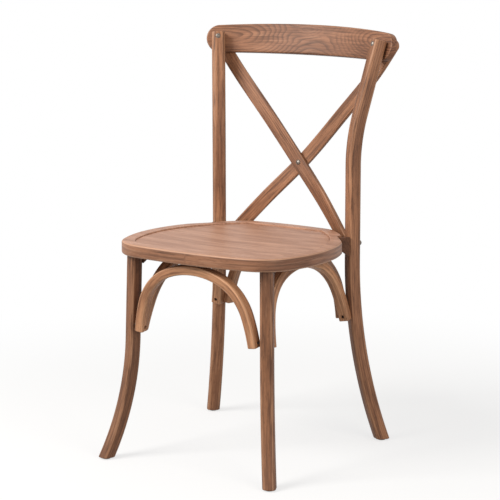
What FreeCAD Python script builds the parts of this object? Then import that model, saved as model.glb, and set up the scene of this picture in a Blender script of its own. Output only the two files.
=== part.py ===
import FreeCAD, Part
import os
from math import sin, cos, tan, asin, radians, sqrt

os.makedirs("parts", exist_ok=True)
V = FreeCAD.Vector

# A wooden dining chair with a crossed back. Millimetres; -Y is the front, z = 0 the floor and right
# means +X, as seen from the front. Paired pieces are drawn on the right and mirrored in the YZ plane.

# Seat
SEAT_TOP = 458.9          # rim height at the middle of the seat
SEAT_TILT = 0.7           # degrees, rear lower than the front
SEAT_THICK = 26.5
SEAT_HALF_W = 222.5
SEAT_WIDEST_Y = -40.0
SEAT_SIDE_R = 294.0
SEAT_FRONT_Y = -211.0
SEAT_FRONT_R = 980.0
SEAT_REAR_Y = 204.0
SEAT_REAR_R = 700.0
SEAT_CORNER_FRONT_R = 88.0
SEAT_CORNER_REAR_R = 46.0
FRONT_CORNER_LOSS = 0.6   # most that a corner radius loses inward from the edge, as a share
REAR_CORNER_LOSS = 0.4
SEAT_EDGE_R = 4.0
RIM_W = 28.0              # width of the raised rim
RING_W = 98.0             # full width of the ring under the panel
PANEL_STEP = 2.5          # panel edge below the rim
PANEL_THICK = 9.0
PANEL_DISH = 3.5
PANEL_GAP = 0.3

# Front legs
FRONT_SIZE = 27.5
FRONT_R = 8.5
FRONT_TURN = 22.0
FRONT_IN = 60.4           # the leg's middle from the seat's widest point
FRONT_BACK = 49.5         # and from the seat's front edge
FRONT_DIR = 36.5          # splay direction, degrees from -Y outward
FRONT_LEAN = 1.9
FRONT_BEND_Z = 257.0
FRONT_BEND_R = 640.0

# Rear legs, each one bent piece from the floor to the crest rail
REAR_SIZE = 29.0
REAR_R = 9.0
REAR_TURN = 35.0
REAR_IN = 52.9            # the leg's middle from the seat's widest point
REAR_BACK = 34.7          # and from the seat's rear edge
REAR_DIR_LOW = 47.0       # splay direction, degrees from +Y outward
REAR_LOW_Z = 403.0
REAR_LOW_R = 1195.0
REAR_DIR_UP = 34.0
REAR_UP_Z = 602.0
REAR_UP_R = 407.0
REAR_UP_LEAN = 15.7
REAR_TOP_Z = 866.0

# Crest rail, bent about a vertical axis in front of it and leaning back all along
CREST_TOP = 886.5
CREST_END_DROP = 5.5      # top edge lower at the end circles than at the middle
CREST_BOTTOM = 823.0
CREST_END_IN = 1.5        # centres of the round ends, nearer the middle than the bolts
CREST_THICK = 16.0
CREST_BEND_R = 470.0
CREST_LEAN = 15.0
CREST_BOLT_Z = 852.0
CREST_EDGE_R = 3.0
CREST_STATIONS = 13
CREST_SPARE = 1.2         # bend angle drawn beyond the end circles' centres, as a share

# Crossed back strips. The centre line of one runs from the upper right end over the crossing to its
# foot on the left. A share says how far a point lies from the crossing to the end, a bow how far off.
STRIP_W = 30.0
STRIP_T = 10.0
STRIP_R = 2.5
STRIP_PAST = 20.0         # the round upper end runs on past the bolt
CROSS_IN = 40.0           # the crossing in front of the crest's back plane
CROSS_Z = 589.0
HIGH_SHARE = 0.864
HIGH_BOW = V(0, 2.0, -7.5)
UPPER_SHARE = 0.449
UPPER_BOW = V(0, 4.4, -4.7)
LOWER_SHARE = 0.465
LOWER_BOW = V(0, 3.4, 4.5)
STRIP_FOOT_IN = 28.1      # the foot nearer the middle than the rear leg
STRIP_FOOT_TURN = 37.0
STRIP_STATIONS = 11
STRIP_SLOPE = 0.149       # lean of both strips at the crossing, rise over run
STRIP_APART = 5.35        # each strip from the shared middle surface at the crossing
STRIP_SPREAD = 0.75       # share of that distance at the points above and below

# Arches under the seat
ARCH_W = 23.5
ARCH_T = 19.5
ARCH_R = 4.0
ARCH_CROWN_TURN = 20.0
ARCH_SHOULDER_R = 111.0
ARCH_SHOULDER_TURN = 72.0
ARCH_LIMB_R = 340.0
ARCH_LIMB_TURN = 83.0
ARCH_TAIL = 2.0
ARCH_DOWN = 13.9          # middle of the crown below the seat's underside
ARCH_HINGE_DOWN = 68.5    # height below the crown at which the arch positions are given
CROWN_FLAT = 0.8          # planed off the top of the crown
FRONT_ARCH_OUT = 17.0     # in front of the front legs' middles
FRONT_ARCH_TILT = 4.0
FRONT_ARCH_UP = 2.5       # higher than the rear one
FRONT_ARCH_BESIDE = 23.0  # bent line's lower end from the leg's middle
REAR_ARCH_OUT = 2.7
REAR_ARCH_TILT = 4.0
REAR_ARCH_BESIDE = 23.9
SIDE_ARCH_IN = 15.1       # nearer the middle than the front legs
SIDE_ARCH_TILT = -10.5
SIDE_ARCH_BESIDE = 17.2
SIDE_ARCH_SKEW = 1.1      # degrees, the front end nearer the middle
SIDE_ARCH_BACK = 3.1      # behind the middle between the legs
SIDE_ARCH_DOWN = 1.0
PACKING_HALF = 26.0

# Corner blocks
BLOCK_W = 24.0
BLOCK_SINK = 5.0          # drawn this far into the seat before being cut to it
FRONT_BLOCK_LONG = 33.0
FRONT_BLOCK_DOWN = 20.0
REAR_BLOCK_DOWN = 19.0
REAR_BLOCK_SIDE = 17.0
REAR_BLOCK_RECESS = 4.0   # the rear blocks stay this far below the rim

# The seat steps back from each rear leg and meets it with a tongue. Distances from the leg's
# middle: `near` and `far` along its face direction, `edge` and `side` across it.
TONGUE_EDGE = -4.0
STEP_EDGE = -10.0
STEP_NEAR = 41.0
STEP_SIDE = -90.0
STEP_FAR = 66.0

# Fittings
FIT = 0.3                 # clearance between shaped wooden pieces
HOLE = 0.25               # radial clearance of a fastener in its hole
HEAD_D = 12.0
HEAD_H = 3.2
BOLT_D = 6.0
NUT_D = 11.0
NUT_H = 4.0
RIVET_HEAD_D = 11.0
RIVET_HEAD_H = 2.2
RIVET_D = 5.0
SCREW_D = 4.0
SCREW_HEAD_D = 7.0
SCREW_HEAD_H = 3.0
SCREW_SINK = 4.0          # depth of the head in its hole
SCREW_BITE = 14.0
CROWN_BITE = 11.0
CROWN_SCREW_X = 12.0
END_SCREW_UP = 8.0        # end screws above the lower end of the bent part
FOOT_SCREW_UP = 14.0      # strip screws above the lower end of the strip
FOOT_BITE = 20.0
SPOT = 0.6                # depth of a flat cut under a head
SPOT_MORE = 0.6           # how much wider the flat is than the head
DOWEL_D = 10.0
DOWEL_UP = 14.0
DOWEL_DOWN = 22.0
DOWEL_SPACE = 1.0
GLIDE_D = 16.0
GLIDE_H = 3.0
NAIL_D = 2.5
NAIL_HEAD_D = 6.0
NAIL_HEAD_H = 1.0
NAIL_LENGTH = 16.0
CAP_H = 7.0               # cap heads of the seat bolts
BOLT_SEAT_DOWN = 20.0     # below the top of the rim
BOLT_SEAT_BITE = 24.0

UP = V(0, 0, 1)
BIG = 1500.0              # reaches past the whole chair
OVER = 20.0               # cutting tools run on this far outside the wood
FLOOR_PAST = 9.0          # leg curves are drawn this far below the floor, then cut

# Places that follow from the sizes above
ARCH_CROWN_Z = SEAT_TOP - SEAT_THICK - ARCH_DOWN
ARCH_HINGE_Z = ARCH_CROWN_Z - ARCH_HINGE_DOWN
FRONT_X = SEAT_HALF_W - FRONT_IN
FRONT_Y = SEAT_FRONT_Y + FRONT_BACK
REAR_X = SEAT_HALF_W - REAR_IN
REAR_Y = SEAT_REAR_Y - REAR_BACK


def mirrored(shape):
    return shape.mirror(V(0, 0, 0), V(1, 0, 0))


def save(name, *solids):
    shape = solids[0] if len(solids) == 1 else Part.makeCompound(list(solids))
    shape.translated(V(0, -middle_y, 0)).exportStep("parts/" + name + ".step")


def unit(v):
    return V(v).multiply(1.0 / v.Length)


def rod(start, direction, length, diameter):
    return Part.makeCylinder(diameter / 2.0, length, start, direction)


def dome(base, direction, diameter, height):
    # A spherical cap of the given rim diameter and height.
    r = (diameter ** 2 / 4.0 + height ** 2) / (2.0 * height)
    ball = Part.makeSphere(r, base + unit(direction) * (height - r))
    return ball.common(rod(base, direction, height * 2, diameter))


def rounded_rect(centre, along_a, along_b, size_a, size_b, radius):
    # Closed wire of a rectangle with rounded corners; a and b are unit directions.
    ha = size_a / 2.0
    hb = size_b / 2.0
    q = radius * (1 - sqrt(0.5))
    edges = []
    last = None
    for sa, sb, first_a in ((1, 1, False), (-1, 1, True), (-1, -1, False), (1, -1, True)):
        on_a = centre + along_a * (sa * ha) + along_b * (sb * (hb - radius))
        on_b = centre + along_a * (sa * (ha - radius)) + along_b * (sb * hb)
        middle = centre + along_a * (sa * (ha - q)) + along_b * (sb * (hb - q))
        start, end = (on_b, on_a) if first_a else (on_a, on_b)
        if last is not None:
            edges.append(Part.makeLine(last, start))
        else:
            origin = start
        edges.append(Part.Arc(start, middle, end).toShape())
        last = end
    edges.append(Part.makeLine(last, origin))
    return Part.Wire(edges)


def sweep(edges, section):
    pipe = Part.BRepOffsetAPI.MakePipeShell(Part.Wire(edges))
    pipe.add(section)
    pipe.build()
    pipe.makeSolid()
    return pipe.shape()


def arc_on(centre, radius, out, start, end):
    # Arc in the vertical plane of the direction `out`; angles are measured from -out towards -z.
    points = []
    for a in (start, (start + end) / 2.0, end):
        points.append(centre - out * (radius * cos(a)) - UP * (radius * sin(a)))
    return Part.Arc(*points).toShape()


def end_cutter(centre, along, across, through, radius):
    # Takes away what lies beyond the centre and outside a half circle of the radius there.
    reach = 4 * radius
    corner = centre - across * reach - through * reach
    across = across * 2 * reach
    slab = prism([corner, corner + across, corner + across + along * reach, corner + along * reach],
                 through * 2 * reach)
    return slab.cut(rod(centre - through * reach, through, 2 * reach, 2 * radius))


def prism(points, direction):
    return Part.Face(Part.makePolygon(points + [points[0]])).extrude(direction)


def below(z):
    return Part.makeBox(2 * BIG, 2 * BIG, BIG, V(-BIG, -BIG, z - BIG))


# Seat, drawn level with its top at z = 0 and then laid at its height and tilt

def place_seat(shape):
    laid = shape.copy()
    laid.rotate(V(0, 0, 0), V(1, 0, 0), -SEAT_TILT)
    laid.translate(V(0, 0, SEAT_TOP))
    return laid


def seat_z(y, depth=0.0):
    return SEAT_TOP - y * tan(radians(SEAT_TILT)) - depth


def corner_between(c1, r1, c2, r2, radius):
    # Centre of the corner circle inside both big circles, and its two points of contact.
    a = r1 - radius
    b = r2 - radius
    d = c2 - c1
    along = (a * a - b * b + d.Length ** 2) / (2 * d.Length)
    off = sqrt(a * a - along * along)
    side = V(-d.y, d.x, 0) * (1.0 / d.Length)
    options = [c1 + unit(d) * along + side * off, c1 + unit(d) * along - side * off]
    centre = max(options, key=lambda p: p.x)
    return centre, c1 + unit(centre - c1) * r1, c2 + unit(centre - c2) * r2


def seat_outline(inset, z):
    # Six tangent arcs and their mirror images: front, side and rear arcs joined by round corners.
    front_r = SEAT_FRONT_R - inset
    rear_r = SEAT_REAR_R - inset
    side_r = SEAT_SIDE_R - inset
    corner_f = SEAT_CORNER_FRONT_R - min(inset, SEAT_CORNER_FRONT_R * FRONT_CORNER_LOSS)
    corner_r = SEAT_CORNER_REAR_R - min(inset, SEAT_CORNER_REAR_R * REAR_CORNER_LOSS)
    front_c = V(0, SEAT_FRONT_Y + SEAT_FRONT_R, 0)
    rear_c = V(0, SEAT_REAR_Y - SEAT_REAR_R, 0)
    side_c = V(SEAT_HALF_W - SEAT_SIDE_R, SEAT_WIDEST_Y, 0)
    cf, f1, f2 = corner_between(front_c, front_r, side_c, side_r, corner_f)
    cr, r1, r2 = corner_between(rear_c, rear_r, side_c, side_r, corner_r)
    widest = side_c + V(side_r, 0, 0)
    cf_mid = cf + unit((f1 + f2) * 0.5 - cf) * corner_f
    cr_mid = cr + unit((r1 + r2) * 0.5 - cr) * corner_r
    flip = lambda p: V(-p.x, p.y, 0)
    front_mid = front_c - V(0, front_r, 0)
    rear_mid = rear_c + V(0, rear_r, 0)
    arcs = [
        (flip(f1), front_mid, f1), (f1, cf_mid, f2), (f2, widest, r2), (r2, cr_mid, r1),
        (r1, rear_mid, flip(r1)), (flip(r1), flip(cr_mid), flip(r2)),
        (flip(r2), flip(widest), flip(f2)), (flip(f2), flip(cf_mid), flip(f1)),
    ]
    lift = V(0, 0, z)
    return Part.Wire([Part.Arc(a + lift, b + lift, c + lift).toShape() for a, b, c in arcs])


def seat_slab(inset, top, thick):
    return Part.Face(seat_outline(inset, -top)).extrude(V(0, 0, -thick))


# Rear leg frame: n1 looks along the face towards the seat corner, n2 to the inner side
REAR_C = V(REAR_X, REAR_Y, 0)
N1 = V(-sin(radians(REAR_TURN)), -cos(radians(REAR_TURN)), 0)
N2 = V(-cos(radians(REAR_TURN)), sin(radians(REAR_TURN)), 0)


def rear_point(a, b, z=0.0):
    return REAR_C + N1 * a + N2 * b + UP * z


def post_centre(z):
    # Middle of the straight upper part of the rear leg at a height.
    lean = radians(REAR_UP_LEAN)
    out = V(sin(radians(REAR_DIR_UP)), cos(radians(REAR_DIR_UP)), 0)
    bend = REAR_UP_R * (1 - cos(lean))
    return REAR_C + out * (bend + tan(lean) * (z - REAR_UP_Z - REAR_UP_R * sin(lean))) + UP * z


def rear_leg(grow=0.0):
    size = REAR_SIZE + 2 * grow
    middle_z = (REAR_LOW_Z + REAR_UP_Z) / 2.0
    low = V(sin(radians(REAR_DIR_LOW)), cos(radians(REAR_DIR_LOW)), 0)
    high = V(sin(radians(REAR_DIR_UP)), cos(radians(REAR_DIR_UP)), 0)
    middle = REAR_C + UP * middle_z
    low_end = asin((REAR_LOW_Z + FLOOR_PAST) / REAR_LOW_R)
    low_c = REAR_C + UP * REAR_LOW_Z + low * REAR_LOW_R
    down = [Part.makeLine(middle, REAR_C + UP * REAR_LOW_Z), arc_on(low_c, REAR_LOW_R, low, 0, low_end)]
    high_c = REAR_C + UP * REAR_UP_Z + high * REAR_UP_R
    lean = radians(REAR_UP_LEAN)
    bend = arc_on(high_c, REAR_UP_R, high, 0, -lean)
    bend_end = high_c - high * (REAR_UP_R * cos(lean)) + UP * (REAR_UP_R * sin(lean))
    rise = unit(high * sin(lean) + UP * cos(lean))
    straight = (REAR_TOP_Z - bend_end.z) / cos(lean)
    up = [Part.makeLine(middle, REAR_C + UP * REAR_UP_Z), bend,
          Part.makeLine(bend_end, bend_end + rise * straight)]
    section = rounded_rect(middle, N1, N2, size, size, REAR_R + grow)
    leg = sweep(up, section).fuse(sweep(down, section)).removeSplitter()
    return leg.cut(below(GLIDE_H))


FRONT_OUT = V(sin(radians(FRONT_DIR)), -cos(radians(FRONT_DIR)), 0)
FRONT_C = V(FRONT_X, FRONT_Y, 0)
M1 = V(sin(radians(FRONT_TURN)), -cos(radians(FRONT_TURN)), 0)
M2 = V(-cos(radians(FRONT_TURN)), -sin(radians(FRONT_TURN)), 0)


def front_leg(grow=0.0):
    size = FRONT_SIZE + 2 * grow
    lean = radians(FRONT_LEAN)
    top_z = SEAT_TOP
    top = FRONT_C - FRONT_OUT * (tan(lean) * (top_z - (SEAT_TOP - SEAT_THICK))) + UP * top_z
    knee = top + FRONT_OUT * (tan(lean) * (top_z - FRONT_BEND_Z)) - UP * (top_z - FRONT_BEND_Z)
    centre = knee + FRONT_OUT * (FRONT_BEND_R * cos(lean)) + UP * (FRONT_BEND_R * sin(lean))
    end = asin((centre.z + FLOOR_PAST) / FRONT_BEND_R)
    path = [Part.makeLine(top, knee), arc_on(centre, FRONT_BEND_R, FRONT_OUT, lean, end)]
    section = rounded_rect(top, M1, M2, size, size, FRONT_R + grow)
    leg = sweep(path, section)
    return leg.cut(below(GLIDE_H)).cut(place_seat(above_seat_underside()))


def above_seat_underside():
    return Part.makeBox(BIG, BIG, BIG, V(-BIG / 2, -BIG / 2, -SEAT_THICK))


def foot_centre(leg):
    # Middle of the flat underside of a leg.
    face = min(leg.Faces, key=lambda f: f.CenterOfMass.z)
    return face.CenterOfMass


# Crest rail: leaned rounded rectangles round the bend axis, the ends cut to half circles. The bend
# axis lies where the front face rests against the backs of both posts at the bolts.
POST_REACH = CREST_BEND_R - REAR_SIZE / 2.0 / cos(radians(CREST_LEAN))
BOLT_A = asin(post_centre(CREST_BOLT_Z).x / POST_REACH)
CREST_Y = post_centre(CREST_BOLT_Z).y - POST_REACH * cos(BOLT_A) + CREST_BEND_R
END_A = BOLT_A - CREST_END_IN / CREST_BEND_R


def crest_frame(a, z):
    # Point on the front face at the bend angle and height, and the unit directions there:
    # along the rail, up the face, and into the wood.
    lean = radians(CREST_LEAN)
    radial = V(sin(a), cos(a), 0)
    reach = CREST_BEND_R + (z - CREST_BOLT_Z) * tan(lean)
    point = V(0, CREST_Y - CREST_BEND_R, z) + radial * reach
    rise = radial * sin(lean) + UP * cos(lean)
    inward = radial * cos(lean) - UP * sin(lean)
    return point, V(cos(a), -sin(a), 0), rise, inward


def crest_rail(grow=0.0):
    lean = radians(CREST_LEAN)
    wires = []
    for i in range(CREST_STATIONS):
        share = 2.0 * i / (CREST_STATIONS - 1) - 1.0
        a = END_A * CREST_SPARE * share
        foot, along, rise, inward = crest_frame(a, CREST_BOTTOM)
        top = CREST_TOP - CREST_END_DROP * (sin(a) / sin(END_A)) ** 2
        height = (top - CREST_BOTTOM) / cos(lean)
        centre = foot + rise * (height / 2.0) + inward * (CREST_THICK / 2.0)
        wires.append(rounded_rect(centre, inward, rise, CREST_THICK + 2 * grow, height + 2 * grow,
                                  CREST_EDGE_R + grow))
    rail = Part.makeLoft(wires, True)
    radius = (CREST_TOP - CREST_END_DROP - CREST_BOTTOM) / 2.0 / cos(lean)
    foot, along, rise, inward = crest_frame(END_A, CREST_BOTTOM)
    beyond = end_cutter(foot + rise * radius, along, rise, inward, radius + grow)
    return rail.cut(beyond).cut(mirrored(beyond))


STRIP_CROSS = V(0, CREST_Y - CROSS_IN, CROSS_Z)


def rear_edge(x):
    # Point on the seat's rear edge, at its underside.
    y = SEAT_REAR_Y - SEAT_REAR_R + sqrt(SEAT_REAR_R ** 2 - x ** 2)
    return V(x, y, seat_z(y, SEAT_THICK))


STRIP_FOOT = rear_edge(STRIP_FOOT_IN - REAR_X)


def strip(cross_shift):
    # One back strip: rounded rectangles carried along a smooth curve and turned with it.
    # The upper end is round. Also gives the point for the foot screw and the face direction there.
    front, rail, rise, inward = crest_frame(BOLT_A, CREST_BOLT_Z)
    anchor = front + inward * (CREST_THICK + STRIP_T / 2.0)
    high = STRIP_CROSS + (anchor - STRIP_CROSS) * HIGH_SHARE + HIGH_BOW
    upper = STRIP_CROSS + (anchor - STRIP_CROSS) * UPPER_SHARE + UPPER_BOW
    lower = STRIP_CROSS + (STRIP_FOOT - STRIP_CROSS) * LOWER_SHARE + LOWER_BOW
    crossing = STRIP_CROSS + V(0, cross_shift, 0)
    near = V(0, cross_shift * STRIP_SPREAD, 0)
    curve = Part.BSplineCurve()
    top_end = anchor + unit(anchor - high) * STRIP_PAST
    curve.interpolate([top_end, high, upper + near, crossing, lower + near, STRIP_FOOT])
    first = curve.FirstParameter
    step = (curve.LastParameter - first) / (STRIP_STATIONS - 1.0)

    def frame_at(t):
        p = curve.value(t)
        along = unit(curve.tangent(t)[0])
        if p.x > 0:
            turn = min(asin(p.x / CREST_BEND_R), BOLT_A)
        else:
            turn = radians(STRIP_FOOT_TURN) * sin(radians(90.0) * p.x / abs(STRIP_FOOT.x))
        face = V(-sin(turn), -cos(turn), along.y / along.z)
        return p, along, unit(face - along * face.dot(along))

    wires = []
    for i in range(STRIP_STATIONS):
        p, along, face = frame_at(first + step * i)
        wires.append(rounded_rect(p, along.cross(face), face, STRIP_W, STRIP_T, STRIP_R))
    end, down, face = frame_at(first)
    beyond = end_cutter(end + down * (STRIP_W / 2.0), down * -1, down.cross(face), face, STRIP_W / 2.0)
    p, along, face = frame_at(curve.parameter(STRIP_FOOT - along * FOOT_SCREW_UP))
    return Part.makeLoft(wires, True).cut(beyond), p, face


# Arches: tangent arcs in the XZ plane, drawn as one half and mirrored

def arch_path(span):
    # Edges of the right half, then the last point and the outward normal of the bent part. The
    # crown's radius is what brings the lower end to half the span.
    shoulder, limb, crown = [radians(a) for a in (ARCH_SHOULDER_TURN, ARCH_LIMB_TURN, ARCH_CROWN_TURN)]
    side = ARCH_SHOULDER_R * (sin(shoulder) - sin(crown)) + ARCH_LIMB_R * (sin(limb) - sin(shoulder))
    crown_r = (span / 2.0 - side) / sin(crown)
    out = V(1, 0, 0)
    edges = []
    normal = UP
    last = UP * ARCH_CROWN_Z
    start = 0.0
    for r, end in ((crown_r, crown), (ARCH_SHOULDER_R, shoulder), (ARCH_LIMB_R, limb)):
        centre = last - normal * r
        turns = (start, (start + end) / 2.0, end)
        points = [centre + out * (r * sin(a)) + UP * (r * cos(a)) for a in turns]
        edges.append(Part.Arc(*points).toShape())
        normal = out * sin(end) + UP * cos(end)
        last = points[2]
        start = end
    return edges, last, normal, crown_r


def arch(span, grow=0.0):
    edges, last, normal = arch_path(span)[:3]
    tangent = V(normal.z, 0, -normal.x)
    edges.append(Part.makeLine(last, last + tangent * ARCH_TAIL))
    section = rounded_rect(UP * ARCH_CROWN_Z, V(0, 1, 0), UP, ARCH_W + 2 * grow, ARCH_T + 2 * grow,
                           ARCH_R + grow)
    half = sweep(edges, section)
    flat_z = ARCH_CROWN_Z + ARCH_T / 2.0 - CROWN_FLAT
    over = Part.makeBox(BIG, BIG, BIG, V(-BIG / 2, -BIG / 2, flat_z))
    return half.fuse(mirrored(half)).removeSplitter().cut(over)


def packing():
    flat_z = ARCH_CROWN_Z + ARCH_T / 2.0 - CROWN_FLAT
    corner = V(-PACKING_HALF, -ARCH_W / 2.0 + ARCH_R, flat_z)
    return Part.makeBox(2 * PACKING_HALF, ARCH_W - 2 * ARCH_R, SEAT_THICK, corner)


def arch_screws(span):
    # Start on the concave face and direction of the two end screws and the two crown screws.
    last, normal, crown_r = arch_path(span)[1:]
    tangent = V(normal.z, 0, -normal.x)
    start = last - tangent * END_SCREW_UP - normal * (ARCH_T / 2.0)
    flip = lambda p: V(-p.x, p.y, p.z)
    crown_z = ARCH_CROWN_Z - ARCH_T / 2.0 - (crown_r - sqrt(crown_r ** 2 - CROWN_SCREW_X ** 2))
    crown = V(CROWN_SCREW_X, 0, crown_z)
    ends = [(start, normal), (flip(start), flip(normal))]
    return ends, [(crown, UP), (flip(crown), UP)]


def sunk_screw(start, direction, length):
    head = rod(start + direction * SCREW_SINK, direction, SCREW_HEAD_H, SCREW_HEAD_D)
    shank = rod(start + direction * SCREW_SINK, direction, length - SCREW_SINK, SCREW_D)
    return head.fuse(shank).removeSplitter()


def sunk_hole(start, direction, length):
    # Counterbore for the head and a clearance hole for the shank.
    wide_length = ARCH_R + SCREW_SINK + SCREW_HEAD_H
    wide = rod(start - direction * ARCH_R, direction, wide_length, SCREW_HEAD_D + 2 * HOLE)
    return wide.fuse(rod(start, direction, length + HOLE, SCREW_D + 2 * HOLE))


def stand(shape, turn, distance, tilt, back, down):
    # Puts something drawn in the XZ plane at its distance in front, its crown leaned outward by
    # the tilt, then turns it about z to its own side of the chair.
    laid = shape.copy()
    laid.rotate(UP * ARCH_HINGE_Z, V(1, 0, 0), tilt)
    laid.translate(V(0, -distance, -down))
    laid.rotate(V(0, 0, 0), UP, turn)
    laid.translate(V(0, back, 0))
    return laid


# Build

both = lambda shape: (shape, mirrored(shape))
underside = place_seat(above_seat_underside())

crest = crest_rail()
crest_tool = crest_rail(FIT)
rear_solid = rear_leg()
rear_tool = rear_leg(FIT)
front_solid = front_leg()
front_tool = front_leg(FIT)

# Seat ring and panel
slab = seat_slab(0.0, 0.0, SEAT_THICK)
level_edges = [e for e in slab.Edges if e.BoundBox.ZLength < SEAT_EDGE_R]
slab = slab.makeFillet(SEAT_EDGE_R, level_edges)
rebate = seat_slab(RIM_W, -OVER, OVER + PANEL_STEP + PANEL_THICK)
opening = seat_slab(RING_W, -OVER, SEAT_THICK + 2 * OVER)
ring = place_seat(slab.cut(rebate).cut(opening))
ring_tool = place_seat(seat_slab(-FIT, -FIT, SEAT_THICK + 2 * FIT))
panel = seat_slab(RIM_W + PANEL_GAP, PANEL_STEP, PANEL_THICK)
span = SEAT_HALF_W - RIM_W
dish_r = (span ** 2 + PANEL_DISH ** 2) / (2 * PANEL_DISH)
hollow = Part.makeSphere(dish_r, V(0, 0, dish_r - PANEL_STEP - PANEL_DISH))
panel = place_seat(panel.cut(hollow))

step_back = [rear_point(STEP_FAR, STEP_SIDE), rear_point(STEP_NEAR, STEP_EDGE),
             rear_point(0.0, TONGUE_EDGE), rear_point(0.0, STEP_SIDE)]
for tool in both(prism(step_back, UP * BIG)) + both(rear_tool):
    ring = ring.cut(tool)

# Rear corner blocks fill the step between seat and leg, their undersides sloping down to the leg
face = REAR_SIZE / 2.0
at_face = TONGUE_EDGE + (STEP_EDGE - TONGUE_EDGE) * face / STEP_NEAR
far_n = STEP_NEAR + (STEP_FAR - STEP_NEAR) * (REAR_BLOCK_SIDE + STEP_EDGE) / (STEP_EDGE - STEP_SIDE)
low_z = seat_z(REAR_Y, SEAT_THICK) - REAR_BLOCK_DOWN
block_plan = [rear_point(face, at_face, low_z), rear_point(STEP_NEAR, STEP_EDGE, low_z),
              rear_point(far_n, -REAR_BLOCK_SIDE, low_z), rear_point(face, -REAR_BLOCK_SIDE, low_z)]
rear_block = prism(block_plan, UP * (SEAT_THICK + REAR_BLOCK_DOWN))
lid = place_seat(Part.makeBox(BIG, BIG, BIG, V(-BIG / 2, -BIG / 2, -REAR_BLOCK_RECESS)))
slope = [rear_point(face, BIG / 2, low_z), rear_point(STEP_NEAR, BIG / 2, low_z + REAR_BLOCK_DOWN),
         rear_point(BIG, BIG / 2, low_z + REAR_BLOCK_DOWN), rear_point(BIG, BIG / 2, low_z - BIG),
         rear_point(face, BIG / 2, low_z - BIG)]
rear_block = rear_block.cut(lid).cut(prism(slope, N2 * -BIG)).cut(rear_tool)

# Front corner blocks: triangles behind the front legs
front_face = FRONT_SIZE / 2.0
under_z = seat_z(FRONT_Y, SEAT_THICK)
corner = FRONT_C - M1 * front_face + M2 * (BLOCK_W / 2.0) + UP * (under_z - FRONT_BLOCK_DOWN)
tall = UP * (FRONT_BLOCK_DOWN + BLOCK_SINK)
triangle = [corner, corner + tall, corner + tall - M1 * FRONT_BLOCK_LONG]
front_block = prism(triangle, M2 * -BLOCK_W).cut(underside).cut(front_tool)

# Arches with their packings and screws
side_turn = 90.0 - SIDE_ARCH_SKEW
side_out = FRONT_X - SIDE_ARCH_IN
side_back = (FRONT_Y + REAR_Y) / 2.0 + SIDE_ARCH_BACK
side_span = REAR_Y - FRONT_Y - 2 * SIDE_ARCH_BESIDE
stands = {
    "front": (2 * (FRONT_X - FRONT_ARCH_BESIDE), 0.0, FRONT_ARCH_OUT - FRONT_Y, FRONT_ARCH_TILT, 0.0,
              -FRONT_ARCH_UP),
    "right": (side_span, side_turn, side_out, SIDE_ARCH_TILT, side_back, SIDE_ARCH_DOWN),
    "left": (side_span, -side_turn, side_out, SIDE_ARCH_TILT, side_back, SIDE_ARCH_DOWN),
    "rear": (2 * (REAR_X - REAR_ARCH_BESIDE), 180.0, REAR_ARCH_OUT + REAR_Y, REAR_ARCH_TILT, 0.0, 0.0),
}
legs = {
    "front_leg_right": front_solid, "front_leg_left": mirrored(front_solid),
    "rear_leg_right": rear_solid, "rear_leg_left": mirrored(rear_solid),
}
leg_tools = both(front_tool) + both(rear_tool)
rear_arch_tool = stand(arch(stands["rear"][0], FIT), *stands["rear"][1:])
neighbours = {"front": leg_tools, "rear": leg_tools}
arches = {}
packings = []
end_screws = []
crown_screws = []
for side, (span, *place) in stands.items():
    put = lambda shape: stand(shape, *place)
    piece = put(arch(span)).cut(underside)
    for tool in neighbours.get(side, leg_tools + (rear_arch_tool,)):
        piece = piece.cut(tool)
    wedge = put(packing()).cut(underside)
    ends, crowns = arch_screws(span)
    for start, direction in ends:
        length = ARCH_T + SCREW_BITE
        end_screws.append(put(sunk_screw(start, direction, length)))
        hole = put(sunk_hole(start, direction, length))
        piece = piece.cut(hole)
        legs = {name: leg.cut(hole) for name, leg in legs.items()}
    for start, direction in crowns:
        length = ARCH_T + CROWN_BITE + (seat_z(0.0, SEAT_THICK) - ARCH_CROWN_Z - ARCH_T / 2.0)
        crown_screws.append(put(sunk_screw(start, direction, length)))
        hole = put(sunk_hole(start, direction, length))
        piece = piece.cut(hole)
        wedge = wedge.cut(hole)
        ring = ring.cut(hole)
    arches[side] = piece
    if side != "rear":
        packings.append(wedge)

# Back strips: one drawn from upper right to lower left, the other is its mirror image
back_strip, foot, foot_face = strip(STRIP_APART)
front_strip = mirrored(strip(-STRIP_APART)[0])
near_leg = mirrored(rear_tool)
back_strip = back_strip.cut(crest_tool).cut(ring_tool).cut(near_leg)
front_strip = front_strip.cut(crest_tool).cut(ring_tool).cut(rear_tool)
rear_solids = ("rear_leg_right", "rear_leg_left")
for name in rear_solids:
    legs[name] = legs[name].cut(crest_tool)

# Crest bolts through post, rail and strip, with nuts behind
bolt_at, along, rise, bolt_in = crest_frame(BOLT_A, CREST_BOLT_Z)
bolt_dir = bolt_in * -1
head_at = bolt_at + bolt_dir * (REAR_SIZE - SPOT)
nut_at = bolt_at - bolt_dir * (CREST_THICK + STRIP_T - SPOT)
bolt = dome(head_at, bolt_dir, HEAD_D, HEAD_H)
bolt_length = (head_at - nut_at).Length
bolt = bolt.fuse(rod(head_at, bolt_dir * -1, bolt_length + NUT_H - SPOT, BOLT_D)).removeSplitter()
nut = rod(nut_at, bolt_dir * -1, NUT_H, NUT_D).cut(rod(nut_at, bolt_dir * -1, NUT_H, BOLT_D + 2 * HOLE))
bolt_hole = rod(head_at, bolt_dir * -1, bolt_length, BOLT_D + 2 * HOLE)
bolt_hole = bolt_hole.fuse(rod(head_at, bolt_dir, OVER, HEAD_D + SPOT_MORE))
bolt_hole = bolt_hole.fuse(rod(nut_at, bolt_dir * -1, OVER, NUT_D + SPOT_MORE))
crest = crest.cut(bolt_hole).cut(mirrored(bolt_hole))
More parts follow.
